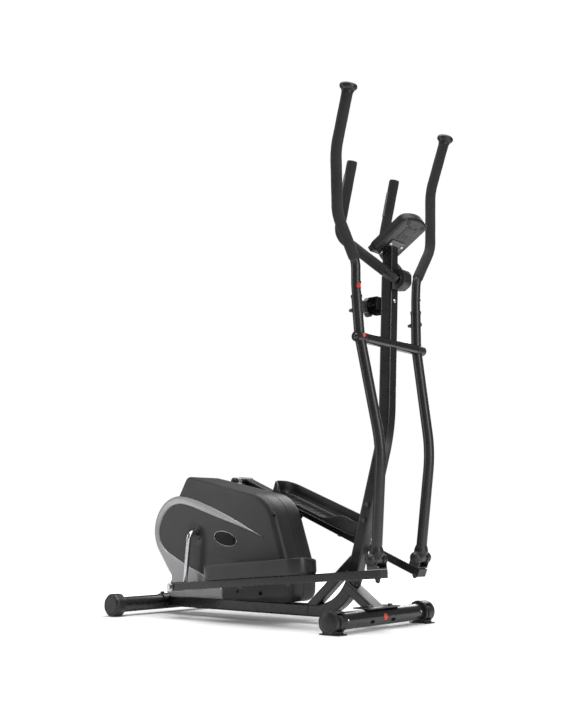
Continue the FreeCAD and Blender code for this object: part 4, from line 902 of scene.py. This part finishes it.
# ---- small fittings -----------------------------------------------------------------------------
def fittings():
    plug_shade_domes, rims = Form(), Form()
    for y in (-70.0, 37.0):
        centre = Vector((FRONT_X + 23.2, y, FRONT_Z - 9.5))
        # Near-black domes inside the rims: painted shade.
        plug_shade_domes.lathe([(5.0, -3), (5.0, 0.4), (4.2, 1.2), (0, 1.4)], centre, (1, 0, -0.38), 32, (0.95, 2.1))
        rims.lathe([(5.9, -2), (5.9, 0.3), (5.3, 0.6), (4.9, 0.0)], centre, (1, 0, -0.38), 32, (0.95, 2.0))
    plug_shade_domes.piece("stabilizer_plug_shade", PIT_SHADE, "frame", "dark_plastic")
    rims.piece("stabilizer_plug_rims", MATERIALS["dark_plastic"], "frame", "dark_plastic")
    dots = Form()
    rings = []
    for share, rise in ((1.0, -0.8), (1.0, 0.3), (0.94, 0.7), (0.6, 0.75), (0.25, 0.75), (0.01, 0.75)):
        ring = []
        for i in range(40):
            a = 2 * math.pi * i / 40
            turn = math.radians(2) + 0.42 * share * math.sin(a)
            ring.append((FRONT_X + (25 + rise) * math.cos(turn), -5 + 9.5 * share * math.cos(a),
                         FRONT_Z + (25 + rise) * math.sin(turn)))
        rings.append(ring)
    dots.rings(rings)
    dots.piece("red_dots", RED, "frame", "dark_plastic")
    for side, word in ((-1, "right"), (1, "left")):
        pin_x, pin_z = crank_pin(side)
        pin = Vector((pin_x, 0, pin_z))
        ring = Form()
        for i in range(24):
            a = 2 * math.pi * i / 24
            mat = Matrix.Translation(pin + Vector((0, side * 110, 0))) @ Matrix.Rotation(a, 4, "Y")
            ring.block((12.2, -6, -0.9), (13.9, 6, 0.9), 0.5, mat, 1)
        ring.lathe([(12.6, -10), (13.2, -9), (13.2, 8.6), (12.6, 9.4)], pin + Vector((0, side * 110, 0)),
                   (0, side, 0), 36)
        ring.piece("crank_knurl_" + word, MATERIALS["zinc"], "crank", "zinc")
        dome = Form().lathe([(12.8, -2), (12.8, 2), (12.0, 6.5), (9.4, 10.2), (5, 12.4), (0, 13.0)],
                            pin + Vector((0, side * 94.5, 0)), (0, -side, 0), 36)
        dome.piece("crank_end_" + word, MATERIALS["dark_plastic"], "crank", "dark_plastic")
        hub = Form().lathe([(11.5, -2), (11.5, 3), (10.6, 4.4), (9.0, 5.0), (8.4, 5.0)],
                           (CRANK_AT[0], side * 78, CRANK_AT[1]), (0, side, 0), 32)
        hub.piece("crank_hub_" + word, MATERIALS["black_steel"], "crank", "black_steel")


fittings()

# ---- camera, floor and light --------------------------------------------------------------------
AZIMUTH = math.radians(39.82)
PITCH = math.radians(8.92)

cam = bpy.data.cameras.new("camera")
cam.lens = 50.465
cam.sensor_width = 36.0
cam_obj = bpy.data.objects.new("camera", cam)
bpy.context.scene.collection.objects.link(cam_obj)
look = Vector((-math.sin(AZIMUTH) * math.cos(PITCH), math.cos(AZIMUTH) * math.cos(PITCH), math.sin(PITCH)))
cam_obj.location = (2.16999, -2.55518, 0.31230)
cam_obj.rotation_euler = look.to_track_quat("-Z", "Y").to_euler()
bpy.context.scene.camera = cam_obj

world = bpy.data.worlds.new("studio")
world.use_nodes = True
sky = world.node_tree
back = sky.nodes["Background"]
back.inputs["Color"].default_value = (1, 1, 1, 1)
seen = sky.nodes.new("ShaderNodeLightPath")
level = sky.nodes.new("ShaderNodeMapRange")
level.inputs["To Min"].default_value = 0.16
level.inputs["To Max"].default_value = 1.0
sky.links.new(seen.outputs["Is Camera Ray"], level.inputs["Value"])
sky.links.new(level.outputs["Result"], back.inputs["Strength"])
bpy.context.scene.world = world
bpy.context.scene.view_settings.view_transform = "Standard"


def area(name, at, to, size, power):
    data = bpy.data.lights.new(name, "AREA")
    data.shape = "RECTANGLE"
    data.size, data.size_y = size
    data.energy = power
    light = bpy.data.objects.new(name, data)
    bpy.context.scene.collection.objects.link(light)
    light.location = at
    light.rotation_euler = (Vector(to) - Vector(at)).to_track_quat("-Z", "Y").to_euler()


area("top", (0.0, 0.0, 3.6), (0, 0, 0), (3.2, 3.2), 150)
area("right", (3.2, -0.4, 1.6), (0.2, 0, 0.7), (0.8, 2.6), 55)
area("left", (-2.6, -2.2, 1.5), (0, 0, 0.6), (0.7, 2.4), 30)
area("back", (-0.8, 3.0, 2.0), (0, 0, 0.6), (1.4, 2.0), 40)

floor_mesh = bpy.data.meshes.new("floor")
bm = bmesh.new()
bmesh.ops.create_grid(bm, x_segments=8, y_segments=8, size=2.6)
bm.to_mesh(floor_mesh)
bm.free()
floor_obj = bpy.data.objects.new("floor", floor_mesh)
bpy.context.scene.collection.objects.link(floor_obj)
floor_mat, floor_tree, floor_shader = node_tree("floor_paint")
floor_shader.inputs["Base Color"].default_value = (0.9, 0.9, 0.9, 1)
floor_shader.inputs["Roughness"].default_value = 0.8
floor_shader.inputs["Specular IOR Level"].default_value = 0.1
floor_shader.inputs["Emission Color"].default_value = (1, 1, 1, 1)
spot = floor_tree.nodes.new("ShaderNodeNewGeometry").outputs["Position"]
reach = floor_tree.nodes.new("ShaderNodeVectorMath")
reach.operation = "LENGTH"
floor_tree.links.new(spot, reach.inputs[0])
floor_tree.links.new(remap(floor_tree, reach.outputs["Value"], 0.8, 2.0, 0.02, 1.0),
                     floor_shader.inputs["Emission Strength"])
floor_mesh.materials.append(floor_mat)
